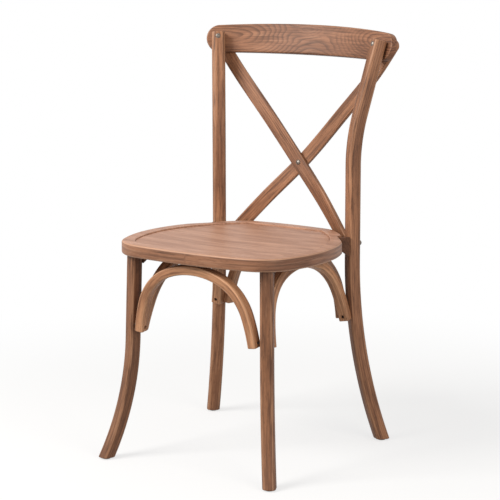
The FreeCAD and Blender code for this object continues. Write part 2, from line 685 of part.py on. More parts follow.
legs["rear_leg_right"] = legs["rear_leg_right"].cut(bolt_hole)
legs["rear_leg_left"] = legs["rear_leg_left"].cut(mirrored(bolt_hole))
back_strip = back_strip.cut(bolt_hole)
front_strip = front_strip.cut(mirrored(bolt_hole))

# Rivet through the crossing
rivet_dir = unit(V(0, -1, STRIP_SLOPE))
rivet_half = STRIP_APART + STRIP_T / 2.0 + SPOT / 2.0
front_head = STRIP_CROSS + rivet_dir * rivet_half
back_head = STRIP_CROSS - rivet_dir * rivet_half
rivet = rod(back_head, rivet_dir, 2 * rivet_half, RIVET_D)
rivet = rivet.fuse(dome(front_head, rivet_dir, RIVET_HEAD_D, RIVET_HEAD_H))
rivet = rivet.fuse(dome(back_head, rivet_dir * -1, RIVET_HEAD_D, RIVET_HEAD_H)).removeSplitter()
rivet_hole = rod(STRIP_CROSS - rivet_dir * OVER, rivet_dir, 2 * OVER, RIVET_D + 2 * HOLE)
back_strip = back_strip.cut(rivet_hole)
front_strip = front_strip.cut(rivet_hole)

# Screws holding the strip feet to the seat edge
foot_start = foot - foot_face * (STRIP_T / 2.0 - SPOT)
foot_screw = dome(foot_start, foot_face * -1, SCREW_HEAD_D, RIVET_HEAD_H)
foot_screw = foot_screw.fuse(rod(foot_start, foot_face, STRIP_T + FOOT_BITE, SCREW_D)).removeSplitter()
foot_hole = rod(foot_start, foot_face, STRIP_T + FOOT_BITE + HOLE, SCREW_D + 2 * HOLE)
foot_hole = foot_hole.fuse(rod(foot_start, foot_face * -1, OVER, SCREW_HEAD_D + SPOT_MORE))
back_strip = back_strip.cut(foot_hole)
front_strip = front_strip.cut(mirrored(foot_hole))
for tool in both(foot_hole):
    ring = ring.cut(tool)

# Bolts from behind the rear legs into the seat tongues
seat_head = rear_point(-face + SPOT, 0.0, seat_z(REAR_Y, BOLT_SEAT_DOWN))
seat_length = REAR_SIZE - SPOT + BOLT_SEAT_BITE
seat_bolt = dome(seat_head, N1 * -1, HEAD_D, CAP_H)
seat_bolt = seat_bolt.fuse(rod(seat_head, N1, seat_length, BOLT_D)).removeSplitter()
seat_hole = rod(seat_head, N1, seat_length + HOLE, BOLT_D + 2 * HOLE)
seat_hole = seat_hole.fuse(rod(seat_head, N1 * -1, OVER, HEAD_D + SPOT_MORE))
legs["rear_leg_right"] = legs["rear_leg_right"].cut(seat_hole)
legs["rear_leg_left"] = legs["rear_leg_left"].cut(mirrored(seat_hole))
for tool in both(seat_hole):
    ring = ring.cut(tool)

# Dowels between the front legs and the seat
dowel_z = seat_z(FRONT_Y, SEAT_THICK)
dowel = rod(FRONT_C + UP * (dowel_z - DOWEL_DOWN), UP, DOWEL_DOWN + DOWEL_UP, DOWEL_D)
dowel_hole = rod(FRONT_C + UP * (dowel_z - DOWEL_DOWN - DOWEL_SPACE), UP,
                 DOWEL_DOWN + DOWEL_UP + 2 * DOWEL_SPACE, DOWEL_D + 2 * HOLE)
legs["front_leg_right"] = legs["front_leg_right"].cut(dowel_hole)
legs["front_leg_left"] = legs["front_leg_left"].cut(mirrored(dowel_hole))
for tool in both(dowel_hole):
    ring = ring.cut(tool)

# Glides nailed under the feet
glides = []
nails = []
for name, leg in legs.items():
    foot_at = foot_centre(leg)
    glide = rod(V(foot_at.x, foot_at.y, 0), UP, GLIDE_H, GLIDE_D)
    glide = glide.cut(rod(V(foot_at.x, foot_at.y, 0), UP, NAIL_HEAD_H + 2 * HOLE, NAIL_HEAD_D + 2 * HOLE))
    nail_z = NAIL_HEAD_H + 2 * HOLE
    nail_at = V(foot_at.x, foot_at.y, nail_z)
    nail_hole = rod(nail_at, UP, NAIL_LENGTH + HOLE, NAIL_D + 2 * HOLE)
    nail = rod(nail_at, UP, NAIL_LENGTH, NAIL_D).fuse(rod(nail_at, UP * -1, NAIL_HEAD_H, NAIL_HEAD_D))
    glides.append(glide.cut(nail_hole))
    nails.append(nail.removeSplitter())
    legs[name] = leg.cut(nail_hole)

# Everything is moved so that the middle of the chair's footprint box lies at the origin
front_most = legs["front_leg_right"].optimalBoundingBox().YMin
rear_most = crest.optimalBoundingBox().YMax
middle_y = (front_most + rear_most) / 2.0
print("middle y", middle_y, "front", front_most, "rear", rear_most)

for name, leg in legs.items():
    save(name, leg)
for side, piece in arches.items():
    save("arch_" + side, piece)
save("crest_rail", crest)
save("brace_back", back_strip)
save("brace_front", front_strip)
save("seat_ring", ring)
save("seat_panel", panel)
save("corner_block_rear_right", rear_block)
save("corner_block_rear_left", mirrored(rear_block))
save("corner_block_front_right", front_block)
save("corner_block_front_left", mirrored(front_block))
save("crown_packings", *packings)
save("crest_bolts", *both(bolt))
save("crest_nuts", *both(nut))
save("brace_rivet", rivet)
save("brace_foot_screws", *both(foot_screw))
save("seat_bolts", *both(seat_bolt))
save("arch_end_screws", *end_screws)
save("arch_crown_screws", *crown_screws)
save("front_leg_dowels", *both(dowel))
save("foot_glides", *glides)
save("glide_nails", *nails)
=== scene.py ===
import bmesh
import bpy
import numpy as np
from functools import partial
from math import asin, cos, pi, radians, sin, sqrt, tan
from mathutils import Matrix, Vector


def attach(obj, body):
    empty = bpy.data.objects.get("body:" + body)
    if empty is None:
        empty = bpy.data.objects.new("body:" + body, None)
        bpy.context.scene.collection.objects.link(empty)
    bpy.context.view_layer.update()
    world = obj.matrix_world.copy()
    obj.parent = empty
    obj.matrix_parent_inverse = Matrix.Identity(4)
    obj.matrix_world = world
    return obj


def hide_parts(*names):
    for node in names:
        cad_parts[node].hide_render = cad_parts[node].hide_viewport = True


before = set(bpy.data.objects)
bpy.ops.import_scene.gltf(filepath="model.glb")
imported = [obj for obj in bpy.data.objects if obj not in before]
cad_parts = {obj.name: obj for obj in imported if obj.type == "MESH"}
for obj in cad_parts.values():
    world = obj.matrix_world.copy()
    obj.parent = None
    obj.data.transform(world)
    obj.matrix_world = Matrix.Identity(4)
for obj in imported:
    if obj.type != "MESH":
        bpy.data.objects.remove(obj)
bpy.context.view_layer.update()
print("packed chair loaded")

# Lengths are millimetres in the chair's own drawing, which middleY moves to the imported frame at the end.
# Points closer than weld (metres) are one point, and edges over sharp (degrees) are shaded sharp.
drawing = dict(middleY=33.850068, weld=2e-6, sharp=38)
toMetres = 0.001
up = np.array([0.0, 0.0, 1.0])
flipX = np.array([-1.0, 1.0, 1.0])
woodShift = np.array([1.7, 0.31, 0.17])  # metres between the wood of one piece and the next


def unit(v):
    v = np.asarray(v, float)
    return v / np.linalg.norm(v, axis=-1, keepdims=True)


def heading(degrees, forward):
    # horizontal direction turned outward from +y (forward 1) or from -y (forward -1)
    return np.array([sin(radians(degrees)), forward * cos(radians(degrees)), 0.0])


# Surfaces. A grid holds rows along the piece and points round it. Its columns are the place x y z, then
# the wood coordinates along, across and deep in metres, then the edge share for wear and painted highlight.

def roundedRing(width, thick, radius, bends=4, flats=2):
    # Round a rectangle anticlockwise: each corner is a quarter circle, each side has a few more points.
    # Rows are (offset across, offset in thickness, how much it lies on a corner).
    turn = np.linspace(0, pi / 2, bends + 1)
    corner = np.stack([np.cos(turn), np.sin(turn)], 1) * radius
    wearAndHighlight = np.sin(2 * turn)
    corners = []
    for quarter, (sa, sb) in enumerate(((1, 1), (-1, 1), (-1, -1), (1, -1))):
        c, s = cos(quarter * pi / 2), sin(quarter * pi / 2)
        spun = corner @ np.array([[c, s], [-s, c]])
        centre = np.array([sa * (width / 2 - radius), sb * (thick / 2 - radius)])
        corners.append(np.column_stack([spun + centre, wearAndHighlight]))
    rows = []
    for here, after in zip(corners, corners[1:] + corners[:1]):
        share = np.linspace(0, 1, flats + 2)[1:-1, None]
        rows += [here, here[-1] * (1 - share) + after[0] * share]
    return np.concatenate(rows)


def carry(path, across, thick, ring, seed):
    # grid[i, k] = path[i] + across[i] * ring[k, 0] + thick[i] * ring[k, 1]
    steps = np.linalg.norm(np.diff(path, axis=0), axis=1)
    along = np.concatenate([[0], np.cumsum(steps)]) * toMetres
    place = path[:, None] + across[:, None] * ring[None, :, 0:1] + thick[:, None] * ring[None, :, 1:2]
    n, k = place.shape[:2]
    wood = np.empty((n, k, 3))
    wood[..., 0] = along[:, None]
    wood[..., 1:] = ring[None, :, :2] * toMetres
    wearAndHighlight = np.broadcast_to(ring[None, :, 2:3], (n, k, 1))
    return np.concatenate([place, wood + seed * woodShift, wearAndHighlight], 2)


def sampleRails(grid, rows):
    # rows[i, k] is a fractional row number on lengthwise rail k
    low = np.clip(np.floor(rows).astype(int), 0, len(grid) - 2)
    part = (rows - low)[..., None]
    rail = np.arange(grid.shape[1])[None]
    return grid[low, rail] * (1 - part) + grid[low + 1, rail] * part


def crossing(grid, point, normal):
    # fractional row at which each rail passes through the plane
    d = (grid[..., :3] - point) @ normal
    d = d * np.sign(d[-1].mean())
    after = np.clip(np.argmax(d > 0, axis=0), 1, None)
    rail = np.arange(grid.shape[1])
    d0, d1 = d[after - 1, rail], d[after, rail]
    return after - 1 + d0 / (d0 - d1)


def trimmed(grid, start, end, rows, softStart=0.0, softEnd=0.0):
    # Rails resampled from row `start` to row `end`; a soft end is a quarter circle of that radius:
    # the ring shrinks by r(1 - cos t) while it stands r(1 - sin t) short of the end.
    k = grid.shape[1]
    start = np.broadcast_to(start, (k,)).astype(float)
    end = np.broadcast_to(end, (k,)).astype(float)
    paceStart, pace = [np.linalg.norm(grid[b, :, :3] - grid[a, :, :3], axis=1).mean()
                       for a, b in ((0, 1), (-2, -1))]
    bend = np.linspace(0, pi / 2, 5)
    body = np.linspace(0, 1, rows)[:, None]
    low = start + softStart / paceStart
    high = end - softEnd / pace
    rowList = [low + (high - low) * body]
    shrink = [np.zeros(rows)]
    if softStart:
        rowList.insert(0, start + softStart * (1 - np.sin(bend[:0:-1, None])) / paceStart)
        shrink.insert(0, softStart * (1 - np.cos(bend[:0:-1])))
    if softEnd:
        rowList.append(end - softEnd * (1 - np.sin(bend[1:, None])) / pace)
        shrink.append(softEnd * (1 - np.cos(bend[1:])))
    out = sampleRails(grid, np.concatenate(rowList))
    shrink = np.concatenate(shrink)[:, None, None]
    spoke = out[..., :3] - out[..., :3].mean(1, keepdims=True)
    out[..., :3] -= spoke * (shrink / np.linalg.norm(spoke, axis=2, keepdims=True))
    out[..., 6:] = np.maximum(out[..., 6:], np.clip(shrink, 0, 1))
    return out


def quadRows(low, high, k):
    # quads from the k points of each row in low to those of its partner in high
    j = np.arange(k)
    after = (j + 1) % k
    low, high = low[:, None] * k, high[:, None] * k
    return np.stack([low + j, low + after, high + after, high + j], -1).reshape(-1, 4).tolist()


def tube(grid):
    # closed skin: quads between neighbouring rows, a fan over each end
    n, k = grid.shape[:2]
    points = np.concatenate([grid.reshape(n * k, -1), grid[:1].mean(1), grid[-1:].mean(1)])
    j = np.arange(k)
    after = (j + 1) % k
    first = np.stack([np.full(k, n * k), after, j], 1)
    last = np.stack([np.full(k, n * k + 1), (n - 1) * k + j, (n - 1) * k + after], 1)
    return points, quadRows(np.arange(n - 1), np.arange(1, n), k) + first.tolist() + last.tolist()


def loopBand(grid):
    # closed band: rows wrap round as the ring of points does
    n, k = grid.shape[:2]
    rows = np.arange(n)
    return grid.reshape(n * k, -1), quadRows(rows, (rows + 1) % n, k)


def turned(profile, start, direction, sides=40):
    # place = start + (side cos a + other sin a) * radius + direction * height, for a profile of
    # (radius, height) rows turned about the axis
    direction = unit(direction)
    side = unit(np.cross(direction, [0.3, 0.5, 0.8]))
    other = np.cross(direction, side)
    a = np.linspace(0, 2 * pi, sides, endpoint=False)[None, :, None]
    r, h = np.array(profile, float).T[..., None, None]
    return tube(start + (side * np.cos(a) + other * np.sin(a)) * r + direction * h)


def drill(start, direction, length, diameter):
    # a plain round cutter
    return turned([(diameter / 2, 0), (diameter / 2, length)], start, direction, 20)


def prismFrom(outline, height):
    # an upright cutter: the plan points and the same points raised by the height
    outline = np.asarray(outline, float)
    return tube(np.stack([outline, outline + up * height]))


def mirrored(shape):
    return shape[0] * flipX, shape[1]


def joined(shapes):
    # several closed shapes as one list of points and faces
    points, faces = [], []
    for corners, sides in shapes:
        start = sum(map(len, points))
        points.append(corners)
        faces += [[start + i for i in side] for side in sides]
    return np.concatenate(points), faces


def chairMesh(title, points, faces, mirror):
    # the drawing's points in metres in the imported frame, mirrored in x where asked
    spots = points[:, :3] * (flipX if mirror else 1.0) - np.array([0.0, drawing["middleY"], 0.0])
    mesh = bpy.data.meshes.new(title)
    mesh.from_pydata((spots * toMetres).tolist(), [], faces)
    return mesh


def weld(mesh):
    # closes the seams and turns the faces outward
    work = bmesh.new()
    work.from_mesh(mesh)
    bmesh.ops.remove_doubles(work, verts=work.verts, dist=drawing["weld"])
    bmesh.ops.recalc_face_normals(work, faces=work.faces)
    work.to_mesh(mesh)
    work.free()


def linked(title, data):
    thing = bpy.data.objects.new(title, data)
    bpy.context.scene.collection.objects.link(thing)
    return thing


def carve(piece, cutters, mirror):
    # takes closed cutter shapes out of a piece, then drops them
    mesh = chairMesh("cutter", *joined(cutters), mirror)
    weld(mesh)
    cutter = linked("cutter", mesh)
    cut = piece.modifiers.new("cut", "BOOLEAN")
    cut.object = cutter
    cut.operation = "DIFFERENCE"
    cut.solver = "EXACT"
    shaped = bpy.data.meshes.new_from_object(piece.evaluated_get(bpy.context.evaluated_depsgraph_get()))
    piece.modifiers.clear()
    old = piece.data
    piece.data = shaped
    bpy.data.objects.remove(cutter)
    bpy.data.meshes.remove(mesh)
    bpy.data.meshes.remove(old)
    shaped.name = piece.name


def dress(piece, finish):
    piece.data.materials.clear()
    piece.data.materials.append(finish)


def addPiece(title, shape, finish, replaced, mirror=False, cuts=()):
    # a shape is its points and faces; each entry of cuts is a list of cutters that don't touch
    points, faces = shape
    mesh = chairMesh(title, points, faces, mirror)
    if points.shape[1] > 3:
        wood = mesh.attributes.new("wood", "FLOAT_VECTOR", "POINT")
        wood.data.foreach_set("vector", np.ascontiguousarray(points[:, 3:6]).ravel())
        for name, column in zip(("wearAndHighlight", "top"), range(6, points.shape[1])):
            share = mesh.attributes.new(name, "FLOAT", "POINT")
            share.data.foreach_set("value", np.ascontiguousarray(points[:, column]))
    weld(mesh)
    piece = linked(title, mesh)
    for cutters in cuts:
        carve(piece, cutters, mirror)
    dress(piece, finish)
    piece.data.shade_smooth()
    piece.data.set_sharp_from_angle(angle=radians(drawing["sharp"]))
    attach(piece, "root")
    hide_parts(replaced)


# Finishes. Each grain noise is (features per metre along, across and deep), detail, roughness, shift.
grain = dict(wander=((4.0, 20.0, 20.0), 2.0, 0.5, 3.1), fading=((5.0, 26.0, 26.0), 2.0, 0.5, 5.3),
             cloud=((5.0, 34.0, 34.0), 3.0, 0.6, 0.4), streak=((11.0, 230.0, 230.0), 4.0, 0.68, 7.7),
             pores=((70.0, 1300.0, 1300.0), 2.0, 0.5, 1.9))
# where on its noise each mark starts and is full, and how strong it is
marks = dict(depthShare=0.45, lineRise=(0.30, 0.90), lineFall=(1.0, 0.93), fadeBand=(0.30, 0.62),
             leastLine=0.25, cloudBand=(0.36, 0.64), streakBand=(0.46, 0.68), glintBand=(0.46, 0.28),
             glintShare=0.45, poreBand=(0.57, 0.72), poreShade=0.5, poreRelief=-1.0, streakRelief=-0.5,
             # the last bands make the paler edges, partly wear and partly a painted highlight on the arrises
             wearAndHighlightBand=(0.25, 1.0), wearAndHighlightStreak=(0.66, 0.36), rimWearAndHighlightBand=(0.2, 1.0))
varnish = dict(streakRough=0.16, bump=0.22, bumpDepth=0.0005)
metalSpecks = dict(scale=420.0, detail=4.0, band=(0.4, 0.62), uneven=0.2, metal=0.6)
nylonSpecks = dict(scale=260.0, detail=2.0, band=(0.35, 0.65), metal=0.0)
# each wood's edge share says how far its edges pale toward its light tone: partly wear, partly painted
# highlight
woods = dict(
    frame=dict(pale=(0.375, 0.172, 0.087), mid=(0.22, 0.094, 0.046), dark=(0.07, 0.027, 0.013),
               light=(0.5, 0.27, 0.155), sway=0.016, pitch=0.0046, lines=0.45, streaks=0.76, pores=0.64,
               wornEdgeAndHighlight=0.5, rough=0.44, gloss=0.35),
    arch=dict(pale=(0.59, 0.3, 0.158), mid=(0.4, 0.188, 0.094), dark=(0.13, 0.054, 0.026),
              light=(0.7, 0.42, 0.25), sway=0.014, pitch=0.005, lines=0.46, streaks=0.74, pores=0.62,
              wornEdgeAndHighlight=0.55, rough=0.44, gloss=0.35),
    crest=dict(pale=(0.335, 0.152, 0.08), mid=(0.225, 0.095, 0.047), dark=(0.075, 0.029, 0.014),
               light=(0.44, 0.24, 0.14), sway=0.026, pitch=0.006, lines=0.72, streaks=0.74, pores=0.6,
               wornEdgeAndHighlight=0.45, rough=0.44, gloss=0.35,
               flame=dict(middle=0.008, reach=0.118, depth=0.078, eye=(-0.004, 0.014), eyeSize=(0.036, 0.018),
                          eyeDepth=0.03)),
    rim=dict(pale=(0.315, 0.145, 0.077), mid=(0.205, 0.088, 0.045), dark=(0.08, 0.033, 0.017),
             light=(0.54, 0.31, 0.195), sway=0.01, pitch=0.005, lines=0.45, streaks=0.76, pores=0.58,
             wornEdgeAndHighlight=0.65, rough=0.4, gloss=0.4),
    # panel tones: partly the wood's own pale tone, partly a painted sheen of the varnished top
    panel=dict(pale=(0.5, 0.27, 0.175), mid=(0.37, 0.185, 0.113), dark=(0.195, 0.083, 0.046),
               light=(0.59, 0.355, 0.245), sway=0.018, pitch=0.0075, lines=0.36, streaks=0.62, pores=0.42,
               wornEdgeAndHighlight=0.25, rough=0.4, gloss=0.4, place=(4.0, 0.0, 0.0)),
    # block tones: partly the wood's own darker tone, partly painted shade of the recesses under the seat
    block=dict(pale=(0.15, 0.068, 0.038), mid=(0.095, 0.042, 0.023), dark=(0.035, 0.015, 0.009),
               light=(0.22, 0.11, 0.065), sway=0.012, pitch=0.005, lines=0.4, streaks=0.5, pores=0.4,
               rough=0.55, gloss=0.2, place=(0.0, 0.0, 0.0)),
)
# front legs: a darker copy of the frame wood, painted shade on the low legs
woods["leg"] = dict(woods["frame"], pale=(0.262, 0.115, 0.055), mid=(0.16, 0.067, 0.032))


def newTree(name):
    material = bpy.data.materials.new(name)
    material.use_nodes = True
    return material, material.node_tree


def feed(tree, sockets, values):
    # numbers, places and colours (red, green, blue) are set on their sockets, anything else is wired
    for socket, value in zip(sockets, values):
        if isinstance(value, (int, float, tuple)):
            socket.default_value = value + (1.0,) if socket.type == "RGBA" else value
        else:
            tree.links.new(value, socket)


def fill(tree, node, **values):
    # each named input gets its value, with an underscore for a space in its name
    feed(tree, [node.inputs[name.replace("_", " ")] for name in values], values.values())
    return node


def added(tree, kind, **values):
    return fill(tree, tree.nodes.new("ShaderNode" + kind), **values)


def maths(tree, operation, *values):
    node = added(tree, "Math")
    node.operation = operation
    feed(tree, node.inputs, values)
    return node.outputs[0]


def mixed(tree, share, first, second):
    node = added(tree, "Mix")
    node.data_type = "RGBA"  # its colour inputs are 6 and 7, its colour output is 2
    feed(tree, [node.inputs[number] for number in (0, 6, 7)], (share, first, second))
    return node.outputs[2]


def ramp(tree, value, low, high):
    node = added(tree, "MapRange")
    node.interpolation_type = "SMOOTHSTEP"
    feed(tree, node.inputs, (value, low, high))
    return node.outputs[0]


def markBand(tree, value, name):
    return ramp(tree, value, *marks[name])


def objectPlace(tree, shift):
    spot = added(tree, "TexCoord").outputs["Object"]
    return added(tree, "Mapping", Vector=spot, Location=shift).outputs[0]


def grainNoise(tree, vector, stretch, detail, rough, shift):
    shifts = (shift, shift * 0.7, shift * 1.3)
    place = added(tree, "Mapping", Vector=vector, Location=shifts, Scale=stretch).outputs[0]
    return added(tree, "TexNoise", Vector=place, Scale=1.0, Detail=detail, Roughness=rough).outputs[0]


def bell(calc, *shares):
    # exp(-(the sum of the squares))
    squares = [calc("MULTIPLY", share, share) for share in shares]
    total = squares[0] if len(squares) == 1 else calc("ADD", *squares)
    return calc("EXPONENT", calc("MULTIPLY", total, -1.0))


def flameField(tree, along, across, flame):
    # distance from a heart that dips under the board: sqrt(across^2 + dip(along)^2), so the lines run
    # straight near the ends, bow over the heart and close round a small eye
    calc = partial(maths, tree)
    reach = calc("DIVIDE", calc("SUBTRACT", along, flame["middle"]), flame["reach"])
    eyeAlong = calc("DIVIDE", calc("SUBTRACT", along, flame["eye"][0]), flame["eyeSize"][0])
    eyeAcross = calc("DIVIDE", calc("SUBTRACT", across, flame["eye"][1]), flame["eyeSize"][1])
    heart = calc("MULTIPLY", bell(calc, reach), flame["depth"])
    dip = calc("SUBTRACT", heart, calc("MULTIPLY", bell(calc, eyeAlong, eyeAcross), flame["eyeDepth"]))
    return calc("SQRT", calc("ADD", calc("MULTIPLY", across, across), calc("MULTIPLY", dip, dip)))


def woodLook(tree, vector, wood):
    # Colour, relief and streaks of wood whose grain runs along the vector's first axis. The growth lines
    # are the saw-tooth part of (across + depth share + wander) / pitch.
    calc, mix = partial(maths, tree), partial(mixed, tree)
    band = partial(markBand, tree)
    along, across, depth = added(tree, "SeparateXYZ", Vector=vector).outputs
    noise = {key: grainNoise(tree, vector, *grain[key]) for key in grain}
    field = flameField(tree, along, across, wood["flame"]) if "flame" in wood else across
    field = calc("ADD", field, calc("MULTIPLY", depth, marks["depthShare"]))
    field = calc("ADD", field, calc("MULTIPLY", noise["wander"], wood["sway"]))
    cycle = calc("FRACT", calc("DIVIDE", field, wood["pitch"]))
    line = calc("MULTIPLY", band(cycle, "lineRise"), band(cycle, "lineFall"))
    fading = calc("MULTIPLY", band(noise["fading"], "fadeBand"), 1.0 - marks["leastLine"])
    line = calc("MULTIPLY", line, calc("ADD", fading, marks["leastLine"]))
    colour = mix(band(noise["cloud"], "cloudBand"), wood["pale"], wood["mid"])
    colour = mix(calc("MULTIPLY", line, wood["lines"]), colour, wood["dark"])
    streaks = calc("MULTIPLY", band(noise["streak"], "streakBand"), wood["streaks"])
    colour = mix(streaks, colour, wood["dark"])
    glints = wood["streaks"] * marks["glintShare"]
    glints = calc("MULTIPLY", band(noise["streak"], "glintBand"), glints)
    colour = mix(glints, colour, wood["light"])
    darkest = tuple(c * marks["poreShade"] for c in wood["dark"])
    colour = mix(calc("MULTIPLY", band(noise["pores"], "poreBand"), wood["pores"]), colour, darkest)
    relief = calc("ADD", calc("MULTIPLY", noise["pores"], marks["poreRelief"]),
                  calc("MULTIPLY", noise["streak"], marks["streakRelief"]))
    return colour, relief, noise["streak"]


def attributeOf(tree, name, output):
    source = added(tree, "Attribute")
    source.attribute_name = name
    return source.outputs[output]


def varnished(tree, colour, relief, streak, wood):
    shine = maths(tree, "MULTIPLY_ADD", streak, varnish["streakRough"], wood["rough"])
    bump = added(tree, "Bump", Strength=varnish["bump"], Distance=varnish["bumpDepth"], Height=relief)
    fill(tree, tree.nodes["Principled BSDF"], Base_Color=colour, Roughness=shine,
         Specular_IOR_Level=wood["gloss"], Normal=bump.outputs[0])


def woodFinish(name, wood):
    # bare wood paler on its edges, partly from wear and partly a painted highlight on the arrises;
    # the grain follows the piece's own attribute
    material, tree = newTree(name)
    calc = partial(maths, tree)
    colour, relief, streak = woodLook(tree, attributeOf(tree, "wood", "Vector"), wood)
    wornEdgeAndHighlight = calc("MULTIPLY", markBand(tree, attributeOf(tree, "wearAndHighlight", "Fac"), "wearAndHighlightBand"),
                  markBand(tree, streak, "wearAndHighlightStreak"))
    colour = mixed(tree, calc("MULTIPLY", wornEdgeAndHighlight, wood["wornEdgeAndHighlight"]), colour, wood["light"])
    varnished(tree, colour, relief, streak, wood)
    return material


def rimFinish(name, wood, topWoodWithSheen):
    # the rim's top shows the panel's straight grain and pale tones with their painted sheen; its side the
    # grain of the bent edge
    material, tree = newTree(name)
    sideColour, relief, streak = woodLook(tree, attributeOf(tree, "wood", "Vector"), wood)
    topColourWithSheen = woodLook(tree, objectPlace(tree, topWoodWithSheen["place"]), topWoodWithSheen)[0]
    colour = mixed(tree, attributeOf(tree, "top", "Fac"), sideColour, topColourWithSheen)
    # paler edges: partly wear, partly a painted highlight along the arrises
    wornEdgeAndHighlight = markBand(tree, attributeOf(tree, "wearAndHighlight", "Fac"), "rimWearAndHighlightBand")
    wornEdgeAndHighlight = maths(tree, "MULTIPLY", wornEdgeAndHighlight, wood["wornEdgeAndHighlight"])
    varnished(tree, mixed(tree, wornEdgeAndHighlight, colour, wood["light"]), relief, streak, wood)
    return material


def blockFinish(name, wood):
    # unpolished wood on small hidden blocks, dark partly as painted shade of the recesses; its grain along
    # the object's x
    material, tree = newTree(name)
    vector = objectPlace(tree, wood["place"])
    varnished(tree, *woodLook(tree, vector, wood), wood)
    return material


def speckled(name, bright, dull, rough, specks):
    # two tones in fine patches, the dull one rougher where the specks say so
    material, tree = newTree(name)
    spot = added(tree, "TexCoord").outputs["Object"]
    patch = added(tree, "TexNoise", Vector=spot, Scale=specks["scale"], Detail=specks["detail"])
    share = ramp(tree, patch.outputs[0], *specks["band"])
    if "uneven" in specks:
        rough = maths(tree, "MULTIPLY_ADD", share, specks["uneven"], rough)
    fill(tree, tree.nodes["Principled BSDF"], Base_Color=mixed(tree, share, bright, dull), Roughness=rough,
         Metallic=specks["metal"])
    return material


frameWood = woodFinish("stained frame wood", woods["frame"])
frontLegWoodInShade = woodFinish("front leg wood in painted shade", woods["leg"])
archWood = woodFinish("bent arch wood", woods["arch"])
crestWood = woodFinish("flame grain crest wood", woods["crest"])
rimWood = rimFinish("seat rim wood", woods["rim"], woods["panel"])
panelWoodWithSheen = woodFinish("seat panel wood with painted sheen", woods["panel"])
blockWoodInPaintedShade = blockFinish("corner block wood in painted shade", woods["block"])
agedMetal = speckled("aged nickel bolt metal", (0.25, 0.22, 0.19), (0.09, 0.07, 0.06), 0.36, metalSpecks)
# screws near black: partly their own dark finish, partly painted shade that keeps the screw holes dark
screwMetalInShade = speckled("near black screw metal in painted shade", (0.030, 0.028, 0.026), (0.010, 0.009, 0.008), 0.5, metalSpecks)
glideNylon = speckled("grey nylon", (0.36, 0.34, 0.32), (0.24, 0.22, 0.21), 0.55, nylonSpecks)
print("finishes made")

# Camera, as fitted to the photograph
shot = dict(place=(2.1444, -3.3594, 1.1988), look=(-0.5287, 0.8272, -0.1902), roll=0.072, lens=138.03,
            sensor=36.0, far=60.0)
look = Vector(shot["look"]).normalized()
sideways = look.cross(Vector((0, 0, 1))).normalized()
turnBy = Matrix.Rotation(radians(shot["roll"]), 3, look)
axes = Matrix((turnBy @ sideways, turnBy @ sideways.cross(look), -look)).transposed()
camera = linked("camera", bpy.data.cameras.new("camera"))
camera.matrix_world = Matrix.Translation(shot["place"]) @ axes.to_4x4()
camera.data.lens = shot["lens"]
camera.data.sensor_width = shot["sensor"]
camera.data.clip_end = shot["far"]
bpy.context.scene.camera = camera

# Legs. Angles are degrees, and soft lengths are the radii of rounded ends.
rear = dict(size=29.0, corner=9.0, turn=35.0, x=169.6, y=169.3, dirLow=47.0, lowZ=403.0, lowR=1195.0,
            dirUp=34.0, upZ=602.0, upR=407.0, upLean=15.7, topZ=866.0, softFoot=1.6, softTop=2.6,
            rows=150)
front = dict(size=27.5, corner=8.5, turn=22.0, x=162.1, y=-161.5, dir=36.5, lean=1.9, bendZ=257.0,
             bendR=640.0, softFoot=1.6, rows=110)
seat = dict(top=458.9, tilt=0.7, thick=26.5, halfW=222.5, widestY=-40.0, sideR=294.0, frontY=-211.0,
            frontR=980.0, rearY=204.0, rearR=700.0, cornerFront=88.0, cornerRear=46.0, lossFront=0.6,
            lossRear=0.4, edge=4.0, rim=28.0, ring=98.0, step=2.5, panel=9.0, dish=3.5, gap=0.3, groove=1.4,
            sideRows=(-16.0, -10.0), topRows=(8.0, 14.0, 20.0), underRow=60.0, panelRound=1.2,
            panelChamfer=0.35, panelMiddle=(0.0, -4.0))
glideH, floorPast = 3.0, 9.0  # legs end on the glides, but are drawn past the floor and then cut
seatNormal = np.array([0.0, sin(radians(seat["tilt"])), cos(radians(seat["tilt"]))])
seatUnder = up * seat["top"] - seatNormal * seat["thick"]
rearBase = np.array([rear["x"], rear["y"], 0.0])
towardSeat = -heading(rear["turn"], 1)
towardInside = np.array([towardSeat[1], -towardSeat[0], 0.0])


def leaned(side, out, angle):
    # the part of `side` along `out` turns with the path as it leans outward by each angle
    share = float(side @ out)
    angle = np.asarray(angle)[:, None]
    return side + share * ((np.cos(angle) - 1) * out - np.sin(angle) * up)


def rearLegGrid(seed):
    # The ring is carried along an arc that sweeps out to the foot, a straight piece, an arc that bends
    # the post back and a straight head, and it leans with the line.
    low, high = heading(rear["dirLow"], 1), heading(rear["dirUp"], 1)
    lean = radians(rear["upLean"])
    a = np.linspace(asin((rear["lowZ"] + floorPast) / rear["lowR"]), 0, 70)[:, None]
    foot = rearBase + up * rear["lowZ"] + rear["lowR"] * (low * (1 - np.cos(a)) - up * np.sin(a))
    post = rearBase + up * np.linspace(rear["lowZ"], rear["upZ"], 30)[1:-1, None]
    b = np.linspace(0, lean, 24)[:, None]
    bend = rearBase + up * rear["upZ"] + rear["upR"] * (high * (1 - np.cos(b)) + up * np.sin(b))
    far = np.linspace(0, (rear["topZ"] - bend[-1, 2]) / cos(lean), 26)[1:, None]
    head = bend[-1] + (high * sin(lean) + up * cos(lean)) * far
    turns = ((low, -a[:, 0]), (low, np.zeros(len(post))), (high, b[:, 0]), (high, np.full(len(head), lean)))
    across, thick = [np.concatenate([leaned(side, out, angle) for out, angle in turns])
                     for side in (towardSeat, towardInside)]
    ring = roundedRing(rear["size"], rear["size"], rear["corner"], 6, 2)
    grid = carry(np.concatenate([foot, post, bend, head]), across, thick, ring, seed)
    begin = crossing(grid, up * glideH, -up)
    return trimmed(grid, begin, len(grid) - 1.0, rear["rows"], rear["softFoot"], rear["softTop"])


